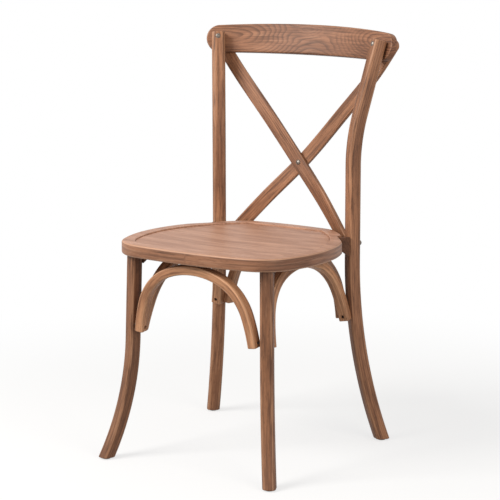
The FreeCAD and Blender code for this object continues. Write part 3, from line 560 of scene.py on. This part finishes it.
def frontLegGrid(seed):
    # the ring is carried up along an arc from the foot and then along a leaning straight line
    base = np.array([front["x"], front["y"], 0.0])
    out = heading(front["dir"], -1)
    one = heading(front["turn"], -1)
    two = np.array([one[1], -one[0], 0.0])
    lean = radians(front["lean"])
    top = base - out * (tan(lean) * seat["thick"]) + up * seat["top"]
    z = np.linspace(0, seat["top"] - front["bendZ"], 40)[:, None]
    post = top + out * tan(lean) * z - up * z
    centre = post[-1] + (out * cos(lean) + up * sin(lean)) * front["bendR"]
    a = np.linspace(lean, asin((centre[2] + floorPast) / front["bendR"]), 60)[1:, None]
    foot = centre - (out * np.cos(a) + up * np.sin(a)) * front["bendR"]
    path = np.concatenate([post, foot])[::-1]
    tilt = np.concatenate([np.zeros(len(post)), lean - a[:, 0]])[::-1]
    ring = roundedRing(front["size"], front["size"], front["corner"], 6, 2)
    grid = carry(path, leaned(one, out, tilt), leaned(two, out, tilt), ring, seed)
    begin, end = crossing(grid, up * glideH, -up), crossing(grid, seatUnder, seatNormal)
    return trimmed(grid, begin, end, front["rows"], front["softFoot"])


for number, (side, mirror) in enumerate((("right", False), ("left", True))):
    post, leg = tube(rearLegGrid(1.0 + number)), tube(frontLegGrid(3.0 + number))
    addPiece("rearLeg_" + side, post, frameWood, "rear_leg_" + side, mirror)
    addPiece("frontLeg_" + side, leg, frontLegWoodInShade, "front_leg_" + side, mirror)
print("legs made")

# Crest rail. Its front face rests on the backs of both posts at the bolts.
crest = dict(top=886.5, endDrop=5.5, bottom=823.0, endIn=1.5, thick=16.0, bendR=470.0, lean=15.0,
             boltZ=852.0, edge=3.0, columns=81, endColumns=14, faceRows=14, figureDown=8.0)


def postCentre(z):
    # middle of the rear leg's straight upper part at a height
    lean = radians(rear["upLean"])
    reach = rear["upR"] * (1 - cos(lean)) + tan(lean) * (z - rear["upZ"] - rear["upR"] * sin(lean))
    return rearBase + up * z + heading(rear["dirUp"], 1) * reach


post = postCentre(crest["boltZ"])
postReach = crest["bendR"] - rear["size"] / 2 / cos(radians(crest["lean"]))
crest["boltA"] = asin(post[0] / postReach)
crest["y"] = post[1] - postReach * cos(crest["boltA"]) + crest["bendR"]
crest["endA"] = crest["boltA"] - crest["endIn"] / crest["bendR"]


def crestPoint(a, z):
    # place on the front face at a bend angle and height, then the direction into the rail
    lean = radians(crest["lean"])
    a, z = np.broadcast_arrays(np.asarray(a, float), np.asarray(z, float))
    radial = np.stack([np.sin(a), np.cos(a), np.zeros_like(a)], -1)
    reach = crest["bendR"] + (z - crest["boltZ"]) * tan(lean)
    place = np.array([0, crest["y"] - crest["bendR"], 0]) + up * z[..., None] + radial * reach[..., None]
    return place, radial * cos(lean) - up * sin(lean)


def crestGrid():
    # Each column lies at a station along the rail. Round the column go the front face, the top edge, the
    # back face and the lower edge. Past the end circles' centres the columns fan round by beta:
    # angle = a0 + reach sin(beta) / bendR, height up the face = middle + reach cos(beta) side.
    lean = radians(crest["lean"])
    ends, flat = crest["endColumns"], np.full(crest["faceRows"], crest["edge"])
    fan = np.linspace(0, pi / 2, ends + 1)[1:]
    station = np.concatenate([np.full(ends, -1.0), np.linspace(-1, 1, crest["columns"]), np.full(ends, 1.0)])
    beta = np.concatenate([-fan[::-1], np.zeros(crest["columns"]), fan])[:, None]
    a0 = crest["endA"] * station[:, None]
    topZ = crest["top"] - crest["endDrop"] * (np.sin(a0) / sin(crest["endA"])) ** 2
    middle = (topZ - crest["bottom"]) / cos(lean) / 2
    face = np.linspace(-1, 1, crest["faceRows"])
    t = np.linspace(0, pi / 2, 5)
    rise, fall, ones = t[1:], t[:-1], np.ones(4)
    edge, thick = crest["edge"], crest["thick"]
    # columns are the side of the middle, inset from the outline, depth in the thickness, edge share for wear
    # and painted highlight
    half = np.concatenate([np.column_stack(rows) for rows in (
        (face, flat, 0 * face, 0 * face),
        (ones, edge * (1 - np.sin(rise)), edge * (1 - np.cos(rise)), np.sin(2 * rise)),
        (ones, edge * (1 - np.cos(fall)), thick - edge * (1 - np.sin(fall)), np.sin(2 * fall)))])
    side, inset, depth, wearAndHighlight = np.concatenate([half, half * (-1, 1, -1, 1) + (0, 0, thick, 0)]).T
    reach = middle - inset
    height = middle + reach * np.cos(beta) * side
    a = a0 + reach * np.sin(beta) / crest["bendR"]
    place, inward = crestPoint(a, crest["bottom"] + height * cos(lean))
    depth = np.broadcast_to(depth, a.shape)
    wood = np.stack([a * crest["bendR"], height - middle - crest["figureDown"], depth], -1) * toMetres
    wearAndHighlight = np.broadcast_to(wearAndHighlight, a.shape)[..., None]
    return np.concatenate([place + inward * depth[..., None], wood, wearAndHighlight], 2)


addPiece("crestRail", tube(crestGrid()), crestWood, "crest_rail")
print("crest made")

# Crossed back strips. A share says how far a point lies from the crossing to the end, a bow how far off.
strips = dict(width=30.0, thick=10.0, corner=2.5, past=20.0, crossIn=40.0, crossZ=589.0,
              high=0.864, highBow=(0, 2.0, -7.5), upper=0.449, upperBow=(0, 4.4, -4.7),
              lower=0.465, lowerBow=(0, 3.4, 4.5),
              footIn=28.1, footTurn=37.0, apart=5.35, spread=0.75, slope=0.149, softFoot=1.2,
              rows=100)
crossAt = np.array([0.0, crest["y"] - strips["crossIn"], strips["crossZ"]])
footX = strips["footIn"] - rear["x"]
footY = seat["rearY"] - seat["rearR"] + sqrt(seat["rearR"] ** 2 - footX ** 2)
footAt = np.array([footX, footY, seat["top"] - footY * tan(radians(seat["tilt"])) - seat["thick"]])


def smoothLine(knots, count):
    # natural cubic through the knots, with chord length as the parameter
    knots = np.asarray(knots, float)
    t = np.concatenate([[0], np.cumsum(np.linalg.norm(np.diff(knots, axis=0), axis=1))])
    h = np.diff(t)
    n = len(knots)
    m = np.eye(n)
    rhs = np.zeros((n, 3))
    inner = np.arange(1, n - 1)
    m[inner, inner - 1] = h[:-1]
    m[inner, inner] = 2 * (h[:-1] + h[1:])
    m[inner, inner + 1] = h[1:]
    rhs[1:-1] = 6 * np.diff(np.diff(knots, axis=0) / h[:, None], axis=0)
    second = np.linalg.solve(m, rhs)
    s = np.linspace(0, t[-1], count)
    i = np.clip(np.searchsorted(t, s, side="right") - 1, 0, n - 2)
    a, b = ((t[i + 1] - s) / h[i])[:, None], ((s - t[i]) / h[i])[:, None]
    w = (h[i] ** 2 / 6)[:, None]
    return a * knots[i] + b * knots[i + 1] + ((a ** 3 - a) * second[i] + (b ** 3 - b) * second[i + 1]) * w


def endCutter(centre, along, across, through, radius):
    # a half ring that leaves a half circle on the end: radius to 3 radius, from -95 to 95 degrees
    a = np.radians(np.linspace(-95, 95, 39))[:, None, None]
    reach = np.array([1.0, 3.0, 3.0, 1.0])[None, :, None] * radius
    lift = np.array([-1.0, -1.0, 1.0, 1.0])[None, :, None] * radius
    return tube(centre + (along * np.cos(a) + across * np.sin(a)) * reach + through * lift)


def stripGrid(shift, seed):
    # The ring is carried along a smooth line from behind the crest over the crossing to the seat. Its
    # face turns with the crest's bend above the crossing and by a sine of x below it.
    place, inward = crestPoint(crest["boltA"], crest["boltZ"])
    anchor = place + inward * (crest["thick"] + strips["thick"] / 2)
    high = crossAt + (anchor - crossAt) * strips["high"] + strips["highBow"]
    upper = crossAt + (anchor - crossAt) * strips["upper"] + strips["upperBow"]
    lower = crossAt + (footAt - crossAt) * strips["lower"] + strips["lowerBow"]
    near = np.array([0, shift * strips["spread"], 0])
    knots = [anchor + unit(anchor - high) * strips["past"], high, upper + near,
             crossAt + np.array([0, shift, 0]), lower + near, footAt]
    path = smoothLine(knots, 90)
    tangent = unit(np.gradient(path, axis=0))
    x = path[:, 0]
    turn = np.where(x > 0, np.minimum(np.arcsin(np.clip(x, 0, None) / crest["bendR"]), crest["boltA"]),
                    radians(strips["footTurn"]) * np.sin(pi / 2 * x / abs(footX)))
    face = np.stack([-np.sin(turn), -np.cos(turn), tangent[:, 1] / tangent[:, 2]], 1)
    face = unit(face - tangent * (face * tangent).sum(1, keepdims=True))
    ring = roundedRing(strips["width"], strips["thick"], strips["corner"], 4, 4)
    grid = carry(path, np.cross(tangent, face), face, ring, seed)
    half = strips["width"] / 2
    cutter = endCutter(path[0] + tangent[0] * half, -tangent[0], np.cross(tangent[0], face[0]), face[0], half)
    return trimmed(grid, 0.0, len(grid) - 1.0, strips["rows"], 0.0, strips["softFoot"]), cutter


for name, side, seed, mirror in (("back", 1, 6.0, False), ("front", -1, 8.0, True)):
    grid, cutter = stripGrid(side * strips["apart"], seed)
    addPiece("strip_" + name, tube(grid), frameWood, "brace_" + name, mirror, [[cutter]])
print("back strips made")


def cornerBetween(c1, r1, c2, r2, radius):
    # centre of the corner circle inside both big circles, on the +x side
    a, b = r1 - radius, r2 - radius
    d = c2 - c1
    length = np.hypot(*d)
    along = (a * a - b * b + length ** 2) / (2 * length)
    off = sqrt(a * a - along * along)
    side = np.array([-d[1], d[0]]) / length
    options = [c1 + d / length * along + side * off, c1 + d / length * along - side * off]
    return max(options, key=lambda p: p[0])


def seatOutline(inset):
    # the right half from the front middle to the rear middle as tangent arcs, then its mirror image
    rf, rr, rs = seat["frontR"] - inset, seat["rearR"] - inset, seat["sideR"] - inset
    cf = seat["cornerFront"] - min(inset, seat["cornerFront"] * seat["lossFront"])
    cr = seat["cornerRear"] - min(inset, seat["cornerRear"] * seat["lossRear"])
    frontC = np.array([0, seat["frontY"] + seat["frontR"]])
    rearC = np.array([0, seat["rearY"] - seat["rearR"]])
    sideC = np.array([seat["halfW"] - seat["sideR"], seat["widestY"]])
    fc = cornerBetween(frontC, rf, sideC, rs, cf)
    rc = cornerBetween(rearC, rr, sideC, rs, cr)
    f1, f2 = np.arctan2(*(fc - frontC)[::-1]), np.arctan2(*(fc - sideC)[::-1])
    r2, r1 = np.arctan2(*(rc - sideC)[::-1]), np.arctan2(*(rc - rearC)[::-1])
    parts = [(frontC, rf, -pi / 2, f1, 30), (fc, cf, f1, f2, 34), (sideC, rs, f2, r2, 60),
             (rc, cr, r2, r1, 26), (rearC, rr, r1, pi / 2, 34)]
    rows = []
    for centre, radius, start, end, count in parts:
        a = np.linspace(start, end, count, endpoint=False)[:, None]
        rows.append(centre + radius * np.concatenate([np.cos(a), np.sin(a)], 1))
    rows.append(rearC + np.array([[0, rr]]))
    half = np.concatenate(rows)
    return np.concatenate([half, half[1:-1][::-1] * flipX[:2]])


def onSeat(x, y, z):
    # level drawing laid at the seat's height and tilt
    t = radians(-seat["tilt"])
    return np.stack([x, y * cos(t) - z * sin(t), seat["top"] + y * sin(t) + z * cos(t)], -1)


def seatRing():
    # A profile carried round the outline. Its rows are inset, depth, edge share (wear and painted highlight)
    # and
    # how much it lies on top: underside, round lower edge, side, round upper edge, level rim, round edge of
    # the groove, rebate.
    t = np.linspace(0, pi / 2, 6)
    e, groove, rim = seat["edge"], seat["groove"], seat["rim"]
    thick, deep = -seat["thick"], -seat["step"] - seat["panel"]
    outer = [(e * (1 - cos(a)), -e * (1 - sin(a)), sin(2 * a) ** 2, 0.5 - 0.5 * cos(2 * a)) for a in t]
    inner = [(rim - groove * (1 - sin(a)), -groove * (1 - cos(a)), 0.5 * sin(2 * a), 1) for a in t]
    lower = [(e * (1 - sin(a)), thick + e * (1 - cos(a)), sin(2 * a), 0) for a in t]
    profile = [(seat["ring"], thick, 0, 0), (seat["underRow"], thick, 0, 0)] + lower
    profile += [(0, z, 0, 0) for z in seat["sideRows"]] + outer + [(x, 0, 0, 1) for x in seat["topRows"]]
    profile += inner + [(rim, deep, 0, 1), (seat["underRow"], deep, 0, 0), (seat["ring"], deep, 0, 0)]
    steps = np.linalg.norm(np.diff(seatOutline(0.0), axis=0), axis=1)
    along = np.concatenate([[0], np.cumsum(steps)])
    rows = []
    for inset, z, wearAndHighlight, top in profile:
        plan = seatOutline(inset)
        inset, z, wearAndHighlight, top = [np.full(len(plan), float(value)) for value in (inset, z, wearAndHighlight, top)]
        wood = np.stack([along, inset, z], 1) * toMetres
        rows.append(np.column_stack([onSeat(plan[:, 0], plan[:, 1], z), wood, wearAndHighlight, top]))
    return loopBand(np.stack(rows, 0))


def seatPanel():
    # Rings of the outline shrink to the middle. The top is the higher of nothing and a sphere's dip,
    # the underside is flat.
    span = seat["halfW"] - seat["rim"]
    sphere = (span ** 2 + seat["dish"] ** 2) / (2 * seat["dish"])
    fit = seat["rim"] + seat["gap"]
    edge, inner = seatOutline(fit), seatOutline(fit + seat["panelRound"])
    middle = np.array(seat["panelMiddle"])
    shift = np.array(woods["panel"]["place"])
    rows = []

    def row(plan, z, wearAndHighlight):
        level = np.column_stack([plan, z])
        rows.append(np.column_stack([onSeat(*level.T), level * toMetres + shift,
                                     np.full(len(plan), wearAndHighlight)]))

    def topOf(plan):
        dip = seat["dish"] - (plan ** 2).sum(1) / (2 * sphere)
        return -seat["step"] - np.maximum(dip, 0)

    bottom = np.full(len(edge), -seat["step"] - seat["panel"])
    for share in (0.02, 0.5, 1.0):
        row(middle + (edge - middle) * share, bottom, 0)
    row(edge, topOf(edge) - seat["panelRound"], 0.3)
    row(seatOutline(fit + seat["panelChamfer"]), topOf(edge) - seat["panelChamfer"], 0.6)
    row(inner, topOf(inner), 0.3)
    for share in np.linspace(0.97, 0.02, 24):
        plan = middle + (inner - middle) * share
        row(plan, topOf(plan), 0)
    return tube(np.stack(rows, 0))


# the seat steps back from each rear leg and keeps a tongue; distances are from the leg's middle
notch = dict(tongue=-4.0, stepEdge=-10.0, stepNear=41.0, stepSide=-90.0, stepFar=66.0, fit=0.3, low=380.0,
             tall=120.0)


def byRearLeg(a, b, z=0.0):
    # a place at a distance toward the seat and one toward the inside from the rear leg's middle
    return rearBase + towardSeat * a + towardInside * b + up * z


def seatCutters():
    # a step and a hole for the post at each rear corner
    corners = ((notch["stepFar"], notch["stepSide"]), (notch["stepNear"], notch["stepEdge"]),
               (0, notch["tongue"]), (0, notch["stepSide"]))
    step = prismFrom([byRearLeg(a, b, notch["low"]) for a, b in corners], notch["tall"])
    size = rear["size"] + 2 * notch["fit"]
    ring = roundedRing(size, size, rear["corner"] + notch["fit"], 6, 1)
    post = prismFrom(byRearLeg(ring[:, :1], ring[:, 1:2], notch["low"]), notch["tall"])
    return [[step], [mirrored(step)], [post], [mirrored(post)]]


addPiece("seatRing", seatRing(), rimWood, "seat_ring", cuts=seatCutters())
addPiece("seatPanel", seatPanel(), panelWoodWithSheen, "seat_panel")
print("seat made")

# Arches under the seat. Each place gives the span of the bent line, the turn to its side of the chair,
# how far out it stands, the tilt of its crown outward, and how far it lies back and down.
arches = dict(width=23.5, thick=19.5, corner=4.0, crownTurn=20.0, shoulderR=111.0, shoulderTurn=72.0,
              limbR=340.0, limbTurn=83.0, tail=2.0, crownZ=418.5, hingeZ=350.0, softEnd=1.8, screwUp=8.0,
              holeD=7.5, holeDepth=7.0, holeOver=3.0, rows=150)
ends = dict(frontBeside=23.0, frontOut=17.0, frontUp=2.5, rearBeside=23.9, rearOut=2.7, tilt=4.0)
sides = dict(inside=15.1, beside=17.2, skew=1.1, back=3.1, down=1.0, tilt=-10.5)
aside = dict(span=rear["y"] - front["y"] - 2 * sides["beside"], out=front["x"] - sides["inside"],
             tilt=sides["tilt"], back=(front["y"] + rear["y"]) / 2 + sides["back"], down=sides["down"])
archPlaces = {
    "front": dict(span=2 * (front["x"] - ends["frontBeside"]), turn=0, out=ends["frontOut"] - front["y"],
                  tilt=ends["tilt"], back=0.0, down=-ends["frontUp"]),
    "right": dict(aside, turn=90 - sides["skew"]),
    "left": dict(aside, turn=sides["skew"] - 90),
    "rear": dict(span=2 * (rear["x"] - ends["rearBeside"]), turn=180, out=ends["rearOut"] + rear["y"],
                 tilt=ends["tilt"], back=0.0, down=0.0),
}


def stood(points, spot):
    # leans a shape drawn in the x-z plane by its tilt, sets it out in front and turns it to its side
    t, q = radians(spot["tilt"]), radians(spot["turn"])
    x, y, z = points[..., 0], points[..., 1], points[..., 2] - arches["hingeZ"]
    y, z = y * cos(t) - z * sin(t) - spot["out"], y * sin(t) + z * cos(t) + arches["hingeZ"] - spot["down"]
    return np.stack([x * cos(q) - y * sin(q), x * sin(q) + y * cos(q) + spot["back"], z], -1)


def archLine(span):
    # right half of the bent line and its outward normals; the crown's radius makes up the span
    crown, shoulder, limb = [radians(arches[key]) for key in ("crownTurn", "shoulderTurn", "limbTurn")]
    side = arches["shoulderR"] * (sin(shoulder) - sin(crown)) + arches["limbR"] * (sin(limb) - sin(shoulder))
    crownR = (span / 2 - side) / sin(crown)
    path, normals = [], []
    last = up * arches["crownZ"]
    normal, start = up, 0.0
    bends = ((crownR, crown, 12), (arches["shoulderR"], shoulder, 26), (arches["limbR"], limb, 18))
    for r, end, count in bends:
        centre = last - normal * r
        a = np.linspace(start, end, count)
        out = np.stack([np.sin(a), np.zeros(count), np.cos(a)], 1)
        path.append((centre + out * r)[:-1])
        normals.append(out[:-1])
        last, normal, start = centre + out[-1] * r, out[-1], end
    tangent = np.array([normal[2], 0, -normal[0]])
    path.append(last + tangent * np.linspace(0, arches["tail"], 4)[:, None])
    normals.append(np.tile(normal, (4, 1)))
    return np.concatenate(path), np.concatenate(normals), last, normal, tangent


def archGrid(spot, seed):
    # the ring carried along both halves of the line, with the normals as its thickness
    path, normals = archLine(spot["span"])[:2]
    path = np.concatenate([path[:0:-1] * flipX, path])
    normals = np.concatenate([normals[:0:-1] * flipX, normals])
    broad = np.tile(np.array([0.0, 1.0, 0.0]), (len(path), 1))
    ring = roundedRing(arches["width"], arches["thick"], arches["corner"], 5, 3)
    grid = carry(path, broad, normals, ring, seed)
    grid = trimmed(grid, 0.0, len(grid) - 1.0, arches["rows"], arches["softEnd"], arches["softEnd"])
    grid[..., :3] = stood(grid[..., :3], spot)
    return grid


def archHoles(spot):
    # the screw hole on the inner face near each end
    last, normal, tangent = archLine(spot["span"])[2:]
    start = last - tangent * arches["screwUp"] - normal * (arches["thick"] / 2 + arches["holeOver"])
    length = arches["holeDepth"] + arches["holeOver"]
    holes = [drill(start * flip, normal * flip, length, arches["holeD"]) for flip in (1.0, flipX)]
    return [(stood(points, spot), faces) for points, faces in holes]


for number, (side, spot) in enumerate(archPlaces.items()):
    addPiece("arch_" + side, tube(archGrid(spot, 10.0 + number)), archWood, "arch_" + side,
             cuts=[archHoles(spot)])
print("arches made")

# Metal fittings
fittings = dict(headD=12.0, headH=3.2, boltD=6.0, nutH=4.0, threadShort=0.5, rivetHeadD=11.0, rivetHeadH=2.2,
                rivetD=5.0, spot=0.6, capH=7.0, seatBoltDown=20.0, seatBoltBite=24.0, headRim=0.35,
                domeFrom=0.02, domeTo=0.96)


def headProfile(diameter, height, shank, length):
    # a spherical cap on a small upright rim, then the shank
    r = (diameter ** 2 / 4 + height ** 2) / (2 * height)
    a = np.linspace(fittings["domeFrom"], asin(diameter / 2 / r) * fittings["domeTo"], 10)
    dome = [(r * sin(v), height - r * (1 - cos(v))) for v in a]
    return dome + [(diameter / 2, fittings["headRim"]), (diameter / 2, 0.0), (shank / 2, -0.01),
                   (shank / 2, -length)]


def boltPair(name, height, length, headAt, outward, replaced):
    # the right bolt and its mirror image as one piece
    profile = headProfile(fittings["headD"], height, fittings["boltD"], length)
    bolt = turned(profile, headAt, outward)
    addPiece(name, joined([bolt, mirrored(bolt)]), agedMetal, replaced)


boltAt, boltIn = crestPoint(crest["boltA"], crest["boltZ"])
crestHead = boltAt - boltIn * (rear["size"] - fittings["spot"])
crestLength = (rear["size"] + crest["thick"] + strips["thick"] - 2 * fittings["spot"] + fittings["nutH"]
               - fittings["threadShort"])
boltPair("crestBolts", fittings["headH"], crestLength, crestHead, -boltIn, "crest_bolts")
seatBoltZ = seat["top"] - rear["y"] * tan(radians(seat["tilt"])) - fittings["seatBoltDown"]
seatHead = byRearLeg(-rear["size"] / 2 + fittings["spot"], 0, seatBoltZ)
seatLength = rear["size"] - fittings["spot"] + fittings["seatBoltBite"]
boltPair("seatBolts", fittings["capH"], seatLength, seatHead, -towardSeat, "seat_bolts")
rivetHalf = strips["apart"] + strips["thick"] / 2 + fittings["spot"] / 2
rivetHead = headProfile(fittings["rivetHeadD"], fittings["rivetHeadH"], fittings["rivetD"], rivetHalf)[:-1]
rivet = [(r, h + rivetHalf) for r, h in rivetHead] + [(r, -h - rivetHalf) for r, h in rivetHead[::-1]]
rivet = turned(rivet, crossAt, [0, -1, strips["slope"]])
addPiece("crossRivet", rivet, agedMetal, "brace_rivet")

for finish, names in (
        (agedMetal, ("crest_nuts",)),
        (screwMetalInShade, ("brace_foot_screws", "arch_end_screws", "arch_crown_screws", "glide_nails")),
        (glideNylon, ("foot_glides",)),
        (blockWoodInPaintedShade, ["crown_packings", "front_leg_dowels"]
         + ["corner_block_" + end + side for end in ("front", "rear") for side in ("_right", "_left")])):
    for name in names:
        dress(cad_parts[name], finish)
print("fittings made")

# Floor, light and view. Tones are shares of white; the shadow fades out between the two distances.
studio = dict(floor=14.0, paperTone=0.84, bounceTone=0.30, rough=0.9, gloss=0.1, shadowShare=0.30,
              fadeFrom=0.50, fadeTo=1.4, worldTone=0.46, worldTint=(1.0, 0.985, 0.965))
lamps = dict(
    keyLamp=dict(place=(-1.1, -1.8, 2.15), aim=(0, 0, 0.7), size=1.2, watts=74.0, tint=(1.0, 0.97, 0.93)),
    fillLamp=dict(place=(2.6, -1.0, 1.5), aim=(0, 0, 0.6), size=1.6, watts=34.0, tint=(1.0, 0.93, 0.85)),
)


def whiteView(tree):
    # 1 for the rays that should meet white paper: those of the camera, of reflections and of glass
    rays = added(tree, "LightPath")
    mirrorRay = maths(tree, "MAXIMUM", rays.outputs["Is Glossy Ray"], rays.outputs["Is Transmission Ray"])
    return maths(tree, "MAXIMUM", rays.outputs["Is Camera Ray"], mirrorRay)


def whiteOver(tree, kind, share, lit, output):
    # plain white of strength 1 over the lit look, by the share
    white = added(tree, kind, Color=(1.0, 1.0, 1.0), Strength=1.0)
    pick = added(tree, "MixShader")
    feed(tree, pick.inputs, (share, lit.outputs[0], white.outputs[0]))
    fill(tree, tree.nodes[output], Surface=pick.outputs[0])


def paperFinish(name):
    # lit paper that keeps the shadow near the chair and turns to plain white further out
    material, tree = newTree(name)
    calc = partial(maths, tree)
    seen = whiteView(tree)
    bounce, paper = [(studio[tone],) * 3 for tone in ("bounceTone", "paperTone")]
    lit = fill(tree, tree.nodes["Principled BSDF"], Base_Color=mixed(tree, seen, bounce, paper),
               Roughness=studio["rough"], Specular_IOR_Level=studio["gloss"])
    split = added(tree, "SeparateXYZ", Vector=added(tree, "TexCoord").outputs["Object"])
    x, y = [calc("POWER", output, 2.0) for output in split.outputs[:2]]
    far = calc("SQRT", calc("ADD", x, y))
    fade = ramp(tree, far, studio["fadeFrom"], studio["fadeTo"])
    share = calc("ADD", calc("MULTIPLY", fade, studio["shadowShare"]), 1.0 - studio["shadowShare"])
    whiteOver(tree, "Emission", calc("MULTIPLY", seen, share), lit, "Material Output")
    return material


floorMesh = bpy.data.meshes.new("studioFloor")
corners = np.array([(-1, -1, 0), (1, -1, 0), (1, 1, 0), (-1, 1, 0)]) * studio["floor"]
floorMesh.from_pydata(corners.tolist(), [], [(0, 1, 2, 3)])
floor = linked("studioFloor", floorMesh)
floorMesh.materials.append(paperFinish("white studio paper"))

world = bpy.data.worlds.new("studio")
bpy.context.scene.world = world
world.use_nodes = True
tree = world.node_tree
backdrop = fill(tree, tree.nodes["Background"], Color=studio["worldTint"], Strength=studio["worldTone"])
whiteOver(tree, "Background", whiteView(tree), backdrop, "World Output")

for title, spec in lamps.items():
    lamp = bpy.data.lights.new(title, "AREA")
    lamp.shape = "SQUARE"
    lamp.size = spec["size"]
    lamp.energy = spec["watts"]
    lamp.color = spec["tint"]
    holder = linked(title, lamp)
    holder.location = spec["place"]
    holder.rotation_euler = (Vector(spec["aim"]) - Vector(spec["place"])).to_track_quat("-Z", "Y").to_euler()

bpy.context.scene.view_settings.view_transform = "Standard"
print("stage made")
